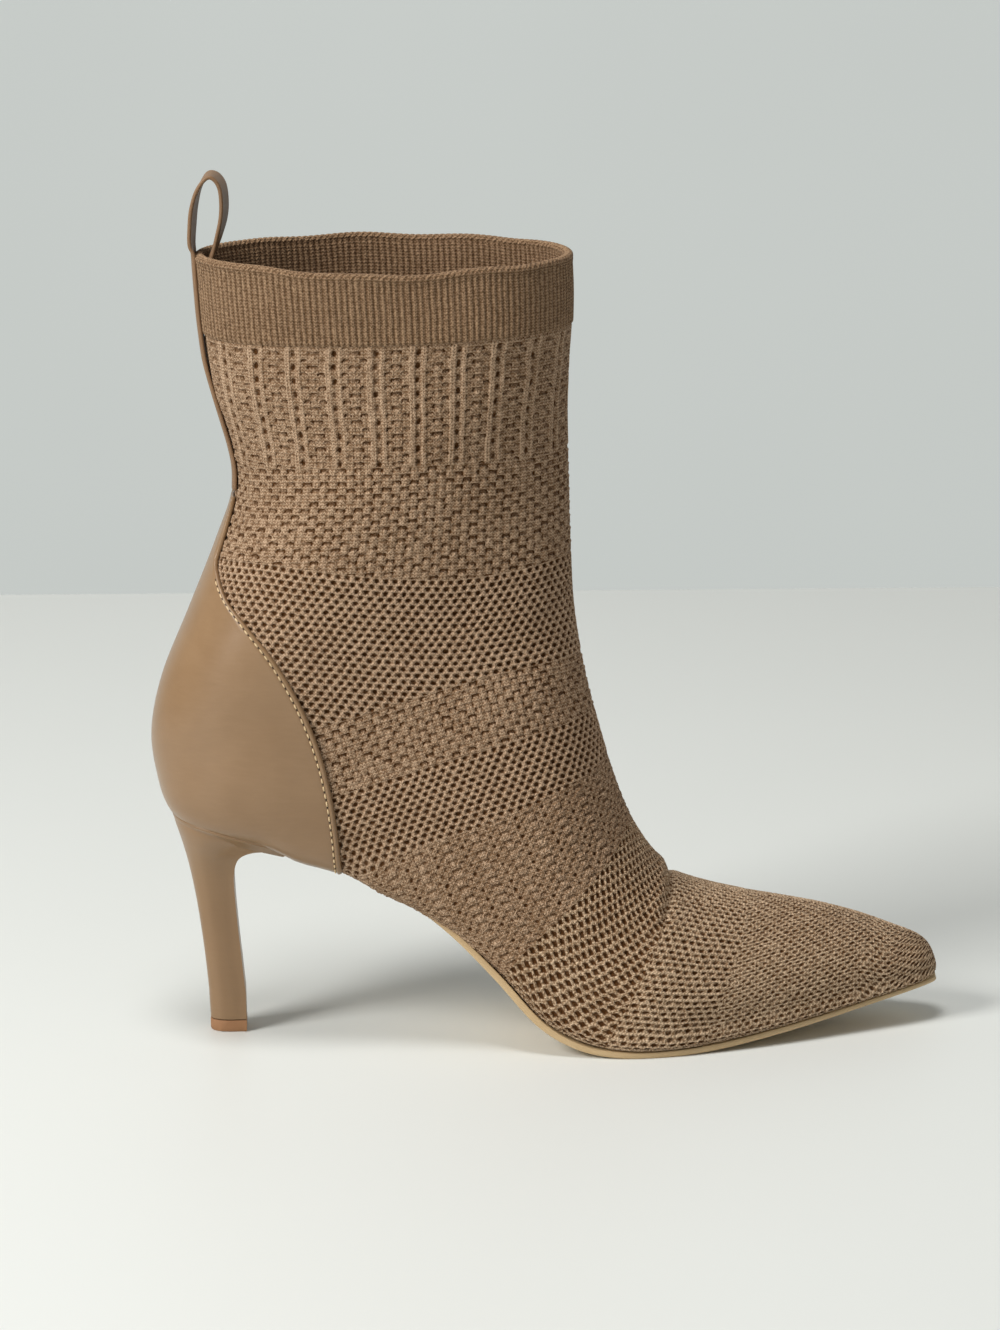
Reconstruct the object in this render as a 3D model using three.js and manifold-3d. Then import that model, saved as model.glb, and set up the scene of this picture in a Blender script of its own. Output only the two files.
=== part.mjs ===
// Sweater boot, right foot: a knitted upper with a leather heel counter and pull strap,
// on a thin outsole and a leather-wrapped stiletto heel.
// Millimetres. Origin: centre of the heel tip on the floor. +X toe, +Y medial side, +Z up.
import * as THREE from 'three';
import { mergeVertices } from 'three/addons/utils/BufferGeometryUtils.js';
import Module from 'manifold-3d';

const wasm = await Module();
wasm.setup();

// Sizes of the last.
const FOOT_LENGTH = 250;
const BALL_WIDTH = 75;
const HEEL_HEIGHT = 70;
const LEG_HEIGHT = 177;

// Thicknesses and clearances.
const GAP = 0.3;
const KNIT_WALL = 2;
const CUFF_STEP = 0.6;
const RIM_ROUND = 0.7;
const LEATHER = 1;
const INSOLE_THICKNESS = 2.4;
const SOLE_EDGE = 2.8;
const SOLE_SKIVED = 1.3;
const SOLE_LIP = 1;
const LASTING_MARGIN = 9;
const TIP_THICKNESS = 4;
const TIP_DEPTH = 11.4;
const TIP_WIDTH = 10.4;
const TIP_EASE = 0.94;
const STRAP_WIDTH = 11;
const STRAP_THICKNESS = 1.2;
const LOOP_HEIGHT = 26;
const LOOP_DEPTH = 12;

// Mesh counts.
const AROUND = 36;
const SEAT_POINTS = 12;

// The last, a row for each section from the toe tip to the collar. A section's plane runs
// from a point on the sole or back line to a point on the ridge or front line.
//   topX, soleX: shares of FOOT_LENGTH.
//   topLift, soleLift: shares of HEEL_HEIGHT. topRise, soleRise: shares of LEG_HEIGHT.
//   half, tread, swing: shares of half of BALL_WIDTH. tread is the outsole's half width.
//   wide: where the section is widest, as a share of the way from the sole line to the top.
//   topPower, solePower: how full the section's two ends are, 2 for an ellipse.
const COLUMNS = [
  'topX', 'topLift', 'topRise', 'soleX', 'soleLift', 'soleRise',
  'half', 'tread', 'swing', 'wide', 'topPower', 'solePower',
];
const LAST = [
  [0.8965, 0, 0.107, 0.896, 0, 0.084, 0.075, 0.075, 0.16, 0.45, 2, 2.2],
  [0.8885, 0, 0.132, 0.892, 0, 0.083, 0.15, 0.145, 0.155, 0.4, 2, 3],
  [0.873, 0, 0.151, 0.875, 0, 0.08, 0.245, 0.235, 0.15, 0.34, 2, 4],
  [0.8425, 0, 0.169, 0.8455, 0, 0.0735, 0.335, 0.33, 0.135, 0.3, 2, 5],
  [0.798, 0, 0.193, 0.804, 0, 0.0635, 0.44, 0.43, 0.11, 0.28, 2, 6],
  [0.75, 0, 0.213, 0.758, 0, 0.052, 0.55, 0.54, 0.085, 0.26, 1.95, 6.5],
  [0.7, 0, 0.2275, 0.71, 0, 0.041, 0.675, 0.66, 0.065, 0.25, 1.9, 6.5],
  [0.652, 0, 0.24, 0.66, 0, 0.031, 0.79, 0.775, 0.045, 0.24, 1.9, 6.5],
  [0.612, 0, 0.253, 0.606, 0, 0.0215, 0.9, 0.885, 0.03, 0.24, 1.9, 6.5],
  [0.582, 0, 0.266, 0.552, 0, 0.0165, 0.985, 0.97, 0.015, 0.24, 1.9, 6.5],
  [0.561, 0, 0.2815, 0.496, 0, 0.017, 0.99, 0.975, -0.025, 0.26, 1.9, 6.3],
  [0.543, 0.06, 0.287, 0.442, 0.032, 0.0155, 0.94, 0.92, -0.035, 0.3, 1.85, 6],
  [0.5225, 0.14, 0.294, 0.392, 0.128, 0.0135, 0.875, 0.84, -0.045, 0.34, 1.85, 5.5],
  [0.5015, 0.26, 0.3005, 0.338, 0.333, 0.009, 0.82, 0.735, -0.045, 0.38, 1.85, 5],
  [0.4815, 0.38, 0.33, 0.28, 0.53, 0.005, 0.8, 0.62, -0.04, 0.42, 1.85, 4.6],
  [0.465, 0.52, 0.3525, 0.216, 0.706, 0, 0.79, 0.56, -0.03, 0.44, 1.9, 4.4],
  [0.451, 0.66, 0.375, 0.148, 0.823, 0, 0.79, 0.53, -0.02, 0.45, 1.9, 4.3],
  [0.44, 0.78, 0.4035, 0.08, 0.89, 0, 0.795, 0.52, -0.01, 0.46, 1.95, 4.2],
  [0.4335, 0.88, 0.4315, 0.012, 0.943, 0, 0.8, 0.5, 0, 0.46, 1.95, 4],
  [0.431, 0.95, 0.4605, -0.04, 0.983, 0, 0.805, 0.46, 0, 0.45, 2, 3.2],
  [0.43, 1, 0.486, -0.068, 1, 0.0255, 0.81, 0.3, 0, 0.44, 2, 2.7],
  [0.429, 1, 0.5255, -0.0815, 1, 0.085, 0.815, 0.2, 0, 0.43, 2, 2.3],
  [0.428, 1, 0.5705, -0.0865, 1, 0.158, 0.82, 0.2, 0, 0.43, 2, 2.2],
  [0.427, 1, 0.627, -0.0725, 1, 0.253, 0.827, 0.2, 0, 0.43, 2, 2.1],
  [0.4255, 1, 0.6835, -0.04, 1, 0.366, 0.832, 0.2, 0, 0.44, 2, 2.1],
  [0.425, 1, 0.737, -0.004, 1, 0.494, 0.843, 0.2, 0, 0.45, 2, 2],
  [0.426, 1, 0.7825, 0.0175, 1, 0.5875, 0.86, 0.2, 0, 0.47, 2, 2],
  [0.427, 1, 0.822, 0.012, 1, 0.6665, 0.88, 0.2, 0, 0.48, 2.1, 2],
  [0.4285, 1, 0.853, -0.008, 1, 0.7655, 0.905, 0.2, 0, 0.49, 2.1, 2.1],
  [0.4295, 1, 0.8785, -0.019, 1, 0.8615, 0.925, 0.2, 0, 0.5, 2.2, 2.1],
  [0.43, 1, 0.938, -0.0235, 1, 0.932, 0.94, 0.2, 0, 0.5, 2.2, 2.1],
  [0.428, 1, 1, -0.0265, 1, 1, 0.95, 0.2, 0, 0.5, 2.2, 2.1],
];

// Rows of LAST that bound the pieces.
const TOE_CAVITY_ROW = 2.3;
const CUFF_ROW = 29;
const TOP_ROW = LAST.length - 1;
const OPENING_TOE_ROW = 4;
const OPENING_HEEL_ROW = 19;
const SOLE_END_ROW = 17;
const SEAT_BACK_ROW = 22;
const STRAP_FOOT_ROW = 26;

// The seam between the heel and the counter: share of FOOT_LENGTH, share of HEEL_HEIGHT.
const SEAM = [
  [-0.12, 1.047], [-0.068, 1.029], [-0.02, 0.997], [0.02, 0.96],
  [0.056, 0.925], [0.081, 0.904], [0.12, 0.877], [0.16, 0.852],
];

// The counter's front edge from the heel seat up to its point at the back of the ankle:
// share of FOOT_LENGTH, share of LEG_HEIGHT above the heel height.
const COUNTER_EDGE = [
  [0.1465, -0.07], [0.14, 0], [0.134, 0.06], [0.124, 0.127], [0.11, 0.19], [0.091, 0.252],
  [0.064, 0.317], [0.034, 0.369], [0.008, 0.411], [-0.003, 0.45], [-0.003, 0.475],
  [0.005, 0.51], [0.0085, 0.54], [0.009, 0.562], [0.0105, 0.578],
];

// The heel below the seat: shares of the seat's length from its back edge for back and
// breast, shares of HEEL_HEIGHT for their heights, share of the seat's half width for half.
const HEEL_COLUMNS = ['back', 'backUp', 'breast', 'breastUp', 'half'];
const HEEL_LEVELS = [
  [0.272, 0.19, 0.57, 0.19, 0.236],
  [0.246, 0.34, 0.542, 0.34, 0.236],
  [0.214, 0.486, 0.516, 0.486, 0.25],
  [0.175, 0.63, 0.495, 0.63, 0.293],
  [0.131, 0.757, 0.49, 0.745, 0.38],
  [0.094, 0.843, 0.525, 0.825, 0.52],
  [0.058, 0.914, 0.622, 0.868, 0.68],
  [0.025, 0.972, 0.77, 0.881, 0.8],
  [0.008, 1.006, 0.94, 0.879, 0.86],
];

// The pull loop above the collar: shares of LOOP_DEPTH from the strap's outer leg and of
// LOOP_HEIGHT above the rim, and the strap's turn about its own length in degrees.
const LOOP_COLUMNS = ['across', 'up', 'turn'];
const LOOP = [
  [-0.03, 0.12, -6],
  [0, 0.31, -8],
  [0.05, 0.54, -8],
  [0.18, 0.76, -5],
  [0.4, 0.91, 0],
  [0.61, 0.9, 5],
  [0.77, 0.79, 8],
  [0.82, 0.6, 9],
  [0.79, 0.41, 9],
  [0.68, 0.21, 7],
  [0.53, 0.04, 4],
  [0.42, -0.115, 0],
];
const STRAP_TAIL = 12;

/** Names the values of a table's row. */
function named(columns, values) {
  return Object.fromEntries(columns.map((name, i) => [name, values[i]]));
}

/** Smooth curve through a table's rows at a row number that may lie between two rows. */
function rowAt(table, place) {
  const last = table.length - 1;
  const at = THREE.MathUtils.clamp(place, 0, last);
  const low = Math.min(Math.floor(at), last - 1);
  const t = at - low;
  const near = (i) => table[THREE.MathUtils.clamp(i, 0, last)];
  const [a, b, c, d] = [near(low - 1), near(low), near(low + 1), near(low + 2)];
  return b.map((_, i) => {
    const slopeIn = (c[i] - a[i]) / 2;
    const slopeOut = (d[i] - b[i]) / 2;
    const rise = c[i] - b[i];
    const bend = 3 * rise - 2 * slopeIn - slopeOut;
    return b[i] + t * (slopeIn + t * (bend + t * (slopeIn + slopeOut - 2 * rise)));
  });
}

/** Height of a table of along and up shares at a place along the foot. */
function heightAt(table, x) {
  const along = x / FOOT_LENGTH;
  const next = Math.max(1, table.findIndex(([share]) => share >= along));
  const [[x0, y0], [x1, y1]] = [table[next - 1], table[next]];
  return HEEL_HEIGHT * THREE.MathUtils.mapLinear(along, x0, x1, y0, y1);
}

/** The last's section at a row number, in millimetres. */
function sectionAt(row) {
  const s = named(COLUMNS, rowAt(LAST, row));
  const halfBall = BALL_WIDTH / 2;
  return {
    topX: s.topX * FOOT_LENGTH,
    topZ: s.topLift * HEEL_HEIGHT + s.topRise * LEG_HEIGHT,
    soleX: s.soleX * FOOT_LENGTH,
    soleZ: s.soleLift * HEEL_HEIGHT + s.soleRise * LEG_HEIGHT,
    half: s.half * halfBall,
    tread: s.tread * halfBall,
    swing: s.swing * halfBall,
    wide: s.wide,
    topPower: s.topPower,
    solePower: s.solePower,
  };
}

/** A point on the last at a row number and an angle round the section, -90 degrees below. */
function lastPoint(row, angle) {
  const s = sectionAt(row);
  const [cos, sin] = [Math.cos(angle), Math.sin(angle)];
  const power = 2 / (sin >= 0 ? s.topPower : s.solePower);
  const out = Math.sign(cos) * Math.abs(cos) ** power;
  const up = Math.sign(sin) * Math.abs(sin) ** power;
  const share = s.wide + (sin >= 0 ? 1 - s.wide : s.wide) * up;
  return new THREE.Vector3(
    THREE.MathUtils.lerp(s.soleX, s.topX, share),
    s.swing + s.half * out,
    THREE.MathUtils.lerp(s.soleZ, s.topZ, share),
  );
}

/** A point at a distance off the last, along the last's own outward normal. */
function formPoint(row, angle, offset) {
  const rowStep = 0.06;
  const angleStep = 0.06;
  const along = lastPoint(Math.min(row + rowStep, TOP_ROW), angle)
    .sub(lastPoint(Math.max(row - rowStep, 0), angle));
  const round = lastPoint(row, angle + angleStep).sub(lastPoint(row, angle - angleStep));
  const normal = along.cross(round).normalize();
  return lastPoint(row, angle).addScaledVector(normal, offset);
}

/** Signed volume of a closed mesh, positive when its faces look outwards. */
function signedVolume(points, faces) {
  return faces.reduce(
    (sum, [a, b, c]) => sum + points[a].dot(new THREE.Vector3().crossVectors(points[b], points[c])) / 6,
    0,
  );
}

/** A closed solid through rings of equal length, with a fan over each end. */
function stack(rings) {
  const count = rings[0].length;
  const points = rings.flat();
  const faces = [];
  for (let r = 0; r + 1 < rings.length; r += 1) {
    for (let i = 0; i < count; i += 1) {
      const [a, b] = [r * count + i, r * count + ((i + 1) % count)];
      faces.push([a, b, b + count], [a, b + count, a + count]);
    }
  }
  const ends = [[rings[0], 0, true], [rings.at(-1), (rings.length - 1) * count, false]];
  for (const [ring, start, turned] of ends) {
    const middle = ring.reduce((sum, p) => sum.add(p), new THREE.Vector3()).divideScalar(count);
    const hub = points.push(middle) - 1;
    for (let i = 0; i < count; i += 1) {
      const [a, b] = [start + i, start + ((i + 1) % count)];
      faces.push(turned ? [hub, b, a] : [hub, a, b]);
    }
  }
  if (signedVolume(points, faces) < 0) {
    faces.forEach((face) => face.reverse());
  }
  const positions = points.flatMap((p) => p.toArray());
  const geometry = new THREE.BufferGeometry();
  geometry.setAttribute('position', new THREE.Float32BufferAttribute(positions, 3));
  geometry.setIndex(faces.flat());
  return solidOf(geometry);
}

/** A solid for cutting and joining, from a closed geometry. */
function solidOf(geometry) {
  const bare = new THREE.BufferGeometry();
  bare.setAttribute('position', geometry.getAttribute('position').clone());
  if (geometry.index) {
    bare.setIndex(geometry.index.clone());
  }
  const merged = mergeVertices(bare, 1e-4);
  return new wasm.Manifold(new wasm.Mesh({
    numProp: 3,
    vertProperties: new Float32Array(merged.getAttribute('position').array),
    triVerts: new Uint32Array(merged.index.array),
  }));
}

/** A geometry from a cut solid. */
function geometryOf(solid) {
  const mesh = solid.getMesh();
  const positions = [];
  for (let i = 0; i < mesh.vertProperties.length; i += mesh.numProp) {
    positions.push(...mesh.vertProperties.slice(i, i + 3));
  }
  const geometry = new THREE.BufferGeometry();
  geometry.setAttribute('position', new THREE.Float32BufferAttribute(positions, 3));
  geometry.setIndex([...mesh.triVerts]);
  geometry.computeVertexNormals();
  return geometry;
}

/** Whole row numbers between two rows, with the half rows where the last turns sharply. */
function rowsBetween(first, end) {
  const rows = [first];
  for (let row = Math.ceil(first + 0.2); row < end - 0.1; row += 0.5) {
    const turning = [[0, 3], [9, 12], [17.5, 22], [25, 28]].some(([low, high]) => row > low && row < high);
    if (Number.isInteger(row) || turning) {
      rows.push(row);
    }
  }
  return [...rows, end];
}

/** One ring of a form off the last. */
function formRing(row, offset, lift = 0) {
  return Array.from({ length: AROUND }, (_, i) => {
    const point = formPoint(row, (i / AROUND) * 2 * Math.PI - Math.PI / 2, offset);
    point.z += lift;
    return point;
  });
}

/** A closed form off the last between two rows. */
function form(offset, first = 0, end = TOP_ROW) {
  return stack(rowsBetween(first, end).map((row) => formRing(row, offset)));
}

/** The sole line at a row, moved square to itself, in the plane of the foot's length. */
function soleLine(row, offset) {
  const [before, after] = [sectionAt(row - 0.1), sectionAt(row + 0.1)];
  const along = new THREE.Vector2(after.soleX - before.soleX, after.soleZ - before.soleZ).normalize();
  const s = sectionAt(row);
  return { x: s.soleX + along.y * offset, z: s.soleZ - along.x * offset, along };
}

/** A slab that follows the sole line from row to row, between two offsets. */
function soleSlab(rows, halfOf, lowOf, highOf) {
  const rings = rows.map((row) => {
    const { swing } = sectionAt(row);
    const half = halfOf(row);
    const low = soleLine(row, lowOf(row));
    const top = soleLine(row, highOf(row));
    return [
      new THREE.Vector3(low.x, swing - half, low.z),
      new THREE.Vector3(low.x, swing, low.z),
      new THREE.Vector3(low.x, swing + half, low.z),
      new THREE.Vector3(top.x, swing + half, top.z),
      new THREE.Vector3(top.x, swing, top.z),
      new THREE.Vector3(top.x, swing - half, top.z),
    ];
  });
  return { rings, solid: () => stack(rings) };
}

/** A prism across the boot from an outline of x and z pairs. */
function prismAcross(outline) {
  const shape = new THREE.Shape(outline.map(([x, z]) => new THREE.Vector2(x, z)));
  const geometry = new THREE.ExtrudeGeometry(shape, { depth: 2 * BALL_WIDTH, bevelEnabled: false });
  geometry.rotateX(Math.PI / 2);
  geometry.translate(0, BALL_WIDTH, 0);
  return solidOf(geometry);
}

/** The knitted wall's outer form: the last, a step out at the cuff and a rounded rim. */
function upperOuter() {
  const rings = rowsBetween(0, CUFF_ROW).map((row) => formRing(row, 0));
  rings.push(formRing(CUFF_ROW + 0.04, CUFF_STEP));
  rings.push(formRing(CUFF_ROW + 1, CUFF_STEP));
  rings.push(formRing(TOP_ROW, CUFF_STEP, -RIM_ROUND));
  rings.push(formRing(TOP_ROW, CUFF_STEP - RIM_ROUND));
  return stack(rings);
}

/** The room inside the knitted wall, open above the collar. */
function upperInner() {
  const rings = rowsBetween(TOE_CAVITY_ROW, TOP_ROW - 1).map((row) => formRing(row, -KNIT_WALL));
  rings.push(formRing(TOP_ROW, -KNIT_WALL, -RIM_ROUND));
  rings.push(formRing(TOP_ROW, -KNIT_WALL + RIM_ROUND));
  rings.push(formRing(TOP_ROW, -KNIT_WALL + RIM_ROUND, KNIT_WALL));
  return stack(rings);
}

/** The hole in the bottom of the knitted wall, inside its lasting margin. */
function soleOpening() {
  const rows = rowsBetween(OPENING_TOE_ROW, OPENING_HEEL_ROW);
  const half = (row) => Math.max(sectionAt(row).tread - LASTING_MARGIN, 2);
  return soleSlab(rows, half, () => -1.5 * KNIT_WALL, () => 2.5 * KNIT_WALL).solid();
}

/** The insole: the room inside the upper, shrunk by the gap, up to the insole's own height. */
function insoleSolid() {
  const room = form(-KNIT_WALL - GAP, TOE_CAVITY_ROW + 0.3, SEAT_BACK_ROW + 3);
  const rows = rowsBetween(TOE_CAVITY_ROW, OPENING_HEEL_ROW);
  const top = KNIT_WALL + GAP + INSOLE_THICKNESS;
  const slab = soleSlab(rows, () => BALL_WIDTH, () => -KNIT_WALL, () => top);
  const heelRing = slab.rings.at(-1);
  const { along } = soleLine(OPENING_HEEL_ROW, 0);
  const shift = new THREE.Vector3(along.x, 0, along.y).multiplyScalar(HEEL_HEIGHT / 2);
  slab.rings.push(heelRing.map((p) => p.clone().add(shift)));
  return room.intersect(slab.solid());
}

/** A size of the outsole at a row: full under the forefoot, another one at the heel. */
function skived(row, full, thin) {
  return THREE.MathUtils.lerp(full, thin, THREE.MathUtils.smoothstep(row, 11, SOLE_END_ROW));
}

/** The outsole: the tread outline, its top shaped by the upper, flat where it meets the floor. */
function outsoleSolid() {
  const rows = rowsBetween(0, SOLE_END_ROW + 1);
  const low = (row) => -GAP - skived(row, SOLE_EDGE, SOLE_SKIVED);
  const lip = (row) => skived(row, SOLE_LIP, 0);
  const slab = soleSlab(rows, (row) => sectionAt(row).tread, low, lip);
  const { swing } = sectionAt(0);
  const toe = slab.rings[0].map((p) => new THREE.Vector3(p.x + 2 * GAP, (p.y + swing) / 2, p.z));
  slab.rings.unshift(toe);
  const seat = seatOutline();
  const end = seat.back + seat.length + GAP;
  const behind = prismAcross([[0, 0], [end, 0], [end, LEG_HEIGHT], [0, LEG_HEIGHT]]);
  const floor = prismAcross([[0, -HEEL_HEIGHT], [FOOT_LENGTH, -HEEL_HEIGHT], [FOOT_LENGTH, 0], [0, 0]]);
  return slab.solid().subtract(form(GAP, 0, SEAT_BACK_ROW)).subtract(behind).subtract(floor);
}

/** Where the counter's outer form meets the seam with the heel, from the back to the front. */
function seamCurve(offset) {
  const above = (row, angle) => {
    const p = formPoint(row, angle, offset);
    return p.z - heightAt(SEAM, p.x);
  };
  const solve = (test, low, high) => {
    let [a, b] = [low, high];
    for (let i = 0; i < 30; i += 1) {
      const middle = (a + b) / 2;
      [a, b] = test(middle) < 0 ? [middle, b] : [a, middle];
    }
    return (a + b) / 2;
  };
  const back = solve((row) => above(row, -Math.PI / 2), 18, SEAT_BACK_ROW);
  return Array.from({ length: SEAT_POINTS }, (_, i) => {
    const row = THREE.MathUtils.lerp(SOLE_END_ROW, back, Math.cos((i / (SEAT_POINTS - 1)) * Math.PI / 2));
    const angle = solve((turn) => above(row, turn), -Math.PI / 2, 0);
    return formPoint(row, angle, offset);
  });
}

/** The heel seat's outline along the seam: round the back, with a straight front. */
function seatOutline() {
  const right = seamCurve(GAP + LEATHER);
  const front = right.at(-1);
  const breast = [0.66, 0.33, 0, -0.33, -0.66]
    .map((share) => new THREE.Vector3(front.x, front.y * share, front.z));
  const left = right.slice(1).reverse().map((p) => new THREE.Vector3(p.x, -p.y, p.z));
  const points = [...right, ...breast, ...left];
  const half = Math.max(...points.map((p) => p.y));
  return { points, back: right[0].x, length: front.x - right[0].x, half };
}

/** The outline of the heel's foot at a height: the seat's own, shrunk about the origin. */
function footRing(z, size = 1) {
  const { points, back, length, half } = seatOutline();
  return points.map((p) => new THREE.Vector3(
    size * TIP_DEPTH * ((p.x - back) / length - 0.5),
    size * (TIP_WIDTH / 2) * (p.y / half),
    z,
  ));
}

/** The heel: rings from its foot up to the seam, cupped by the heel of the upper. */
function heelSolid() {
  const seat = seatOutline();
  const rings = HEEL_LEVELS.map((values) => {
    const level = named(HEEL_COLUMNS, values);
    return seat.points.map((p) => {
      const along = (p.x - seat.back) / seat.length;
      return new THREE.Vector3(
        seat.back + seat.length * THREE.MathUtils.lerp(level.back, level.breast, along),
        p.y * level.half,
        HEEL_HEIGHT * THREE.MathUtils.lerp(level.backUp, level.breastUp, along),
      );
    });
  });
  const rim = seat.points.map((p) => new THREE.Vector3(p.x, p.y, p.z - GAP / 2));
  return stack([footRing(TIP_THICKNESS), ...rings, rim]).subtract(form(GAP, 8));
}

/** The heel's top piece, from the heel's foot down to the floor, its lower edge eased. */
function tipSolid() {
  return stack([footRing(0, TIP_EASE), footRing(TIP_THICKNESS / 8), footRing(TIP_THICKNESS - GAP)]);
}

/** The counter: the wall between two forms off the last, inside its own outline. */
function counterSolid() {
  const shell = form(GAP + LEATHER, 12).subtract(form(GAP, 11.5));
  const seam = [];
  for (let share = SEAM[0][0]; share < COUNTER_EDGE[0][0]; share += 0.01) {
    const x = share * FOOT_LENGTH;
    seam.push([x, heightAt(SEAM, x) + GAP / 2]);
  }
  const edge = COUNTER_EDGE.slice(1).map(([x, z]) => [x * FOOT_LENGTH, HEEL_HEIGHT + z * LEG_HEIGHT]);
  const foot = sectionAt(STRAP_FOOT_ROW);
  const farBack = SEAM[0][0] * FOOT_LENGTH;
  return shell.intersect(prismAcross([...seam, ...edge, [farBack, foot.soleZ - GAP]]));
}

/** How far the upper's back curves away from its middle line under the strap's edges. */
function backSag(row) {
  const [back, edge] = [formPoint(row, -Math.PI / 2, 0), formPoint(row, -Math.PI / 2 + 0.25, 0)];
  const bend = (edge.x - back.x) / (edge.y - back.y) ** 2;
  return bend * (STRAP_WIDTH / 2) ** 2;
}

/** The strap's middle line: up the back seam, round the loop and down inside the collar. */
function strapPath() {
  const stand = GAP + STRAP_THICKNESS / 2;
  const path = [];
  for (let row = STRAP_FOOT_ROW; row <= TOP_ROW; row += 0.5) {
    const cuff = row > CUFF_ROW - 0.6 ? CUFF_STEP : 0;
    const p = formPoint(row, -Math.PI / 2, stand + cuff);
    path.push({ x: p.x, z: p.z, turn: 0, sag: backSag(row) });
  }
  const rim = path.at(-1);
  for (const values of LOOP) {
    const { across, up, turn } = named(LOOP_COLUMNS, values);
    const free = THREE.MathUtils.smoothstep(up, 0, 0.2);
    const [x, z] = [rim.x + across * LOOP_DEPTH, rim.z + up * LOOP_HEIGHT];
    path.push({ x, z, turn, sag: (1 - free) * rim.sag });
  }
  const end = path.at(-1);
  path.push({ x: end.x + 0.2, z: end.z - STRAP_TAIL / 2, turn: 0, sag: rim.sag });
  path.push({ x: end.x + 0.7, z: end.z - STRAP_TAIL, turn: 0, sag: rim.sag });
  return path;
}

/** The pull strap: a flat strip swept along its path, curved across where it lies on the knit. */
function strapSolid() {
  const path = strapPath();
  const across = [-1, -0.5, 0, 0.5, 1];
  const half = STRAP_WIDTH / 2;
  const rings = path.map((p, i) => {
    const [before, after] = [path[Math.max(i - 1, 0)], path[Math.min(i + 1, path.length - 1)]];
    const along = new THREE.Vector3(after.x - before.x, 0, after.z - before.z).normalize();
    const width = new THREE.Vector3(0, 1, 0).applyAxisAngle(along, THREE.MathUtils.degToRad(p.turn));
    const normal = new THREE.Vector3().crossVectors(along, width);
    const point = (share, side) => new THREE.Vector3(p.x + p.sag * share * share, 0, p.z)
      .addScaledVector(width, share * half)
      .addScaledVector(normal, side * STRAP_THICKNESS / 2);
    const under = across.map((share) => point(share, -1));
    const over = across.toReversed().map((share) => point(share, 1));
    return [...under, ...over];
  });
  return stack(rings);
}

const finish = (color, roughness) => new THREE.MeshStandardMaterial({ color, roughness, metalness: 0 });

const PIECES = [
  ['knit_upper', upperOuter().subtract(upperInner()).subtract(soleOpening()), finish('#7f6448', 0.95)],
  ['heel_counter', counterSolid(), finish('#a2876b', 0.5)],
  ['heel', heelSolid(), finish('#978269', 0.45)],
  ['heel_tip', tipSolid(), finish('#a0734f', 0.6)],
  ['outsole', outsoleSolid(), finish('#bb9a6c', 0.55)],
  ['insole', insoleSolid(), finish('#b39c80', 0.7)],
  ['pull_strap', strapSolid(), finish('#9a8065', 0.5)],
];

const group = new THREE.Group();
group.name = 'sweater_boot';
for (const [name, solid, material] of PIECES) {
  const mesh = new THREE.Mesh(geometryOf(solid), material);
  mesh.name = name;
  group.add(mesh);
}

export default group;
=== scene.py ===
"""Looks of the sweater boot: a knitted upper with openwork bands, leather counter, pull strap,
thin outsole and wrapped stiletto heel, on a pale floor in soft light."""

import logging
import math
from dataclasses import dataclass, field, replace
from enum import Enum, IntEnum
from typing import Any, Callable, Sequence

import bmesh
import bpy
import numpy as np
from mathutils import Matrix, Vector


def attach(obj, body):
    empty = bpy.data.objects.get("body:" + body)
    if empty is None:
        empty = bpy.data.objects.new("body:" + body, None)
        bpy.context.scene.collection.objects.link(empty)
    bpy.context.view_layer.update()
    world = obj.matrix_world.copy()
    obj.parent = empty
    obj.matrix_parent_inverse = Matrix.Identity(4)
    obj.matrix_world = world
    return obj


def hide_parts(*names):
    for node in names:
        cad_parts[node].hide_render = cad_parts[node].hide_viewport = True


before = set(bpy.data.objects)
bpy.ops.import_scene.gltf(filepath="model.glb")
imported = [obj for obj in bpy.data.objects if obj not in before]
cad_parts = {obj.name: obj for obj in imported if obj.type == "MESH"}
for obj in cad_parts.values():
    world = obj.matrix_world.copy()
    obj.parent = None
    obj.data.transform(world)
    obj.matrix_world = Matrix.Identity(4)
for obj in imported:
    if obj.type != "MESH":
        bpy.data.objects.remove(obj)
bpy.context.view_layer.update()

LOG = logging.getLogger("sweater_boot")
MM = 0.001
TURN = 2 * math.pi
BACK = -math.pi / 2
LAP = 2.8

Array = np.ndarray
Colour = tuple[int, int, int]
Inputs = dict[Any, Any]


# Node trees.


def maths(operation: str, swapped: bool = False) -> Callable[..., "Wire"]:
    """Makes a method that adds one Math node to a wire.

    Args:
        operation: the node's operation.
        swapped: whether the other value comes first.

    Returns:
        The method.
    """
    def method(wire: "Wire", *others: Any) -> "Wire":
        """Adds the node."""
        return wire.tree.math(operation, *((*others, wire) if swapped else (wire, *others)))

    return method


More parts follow.
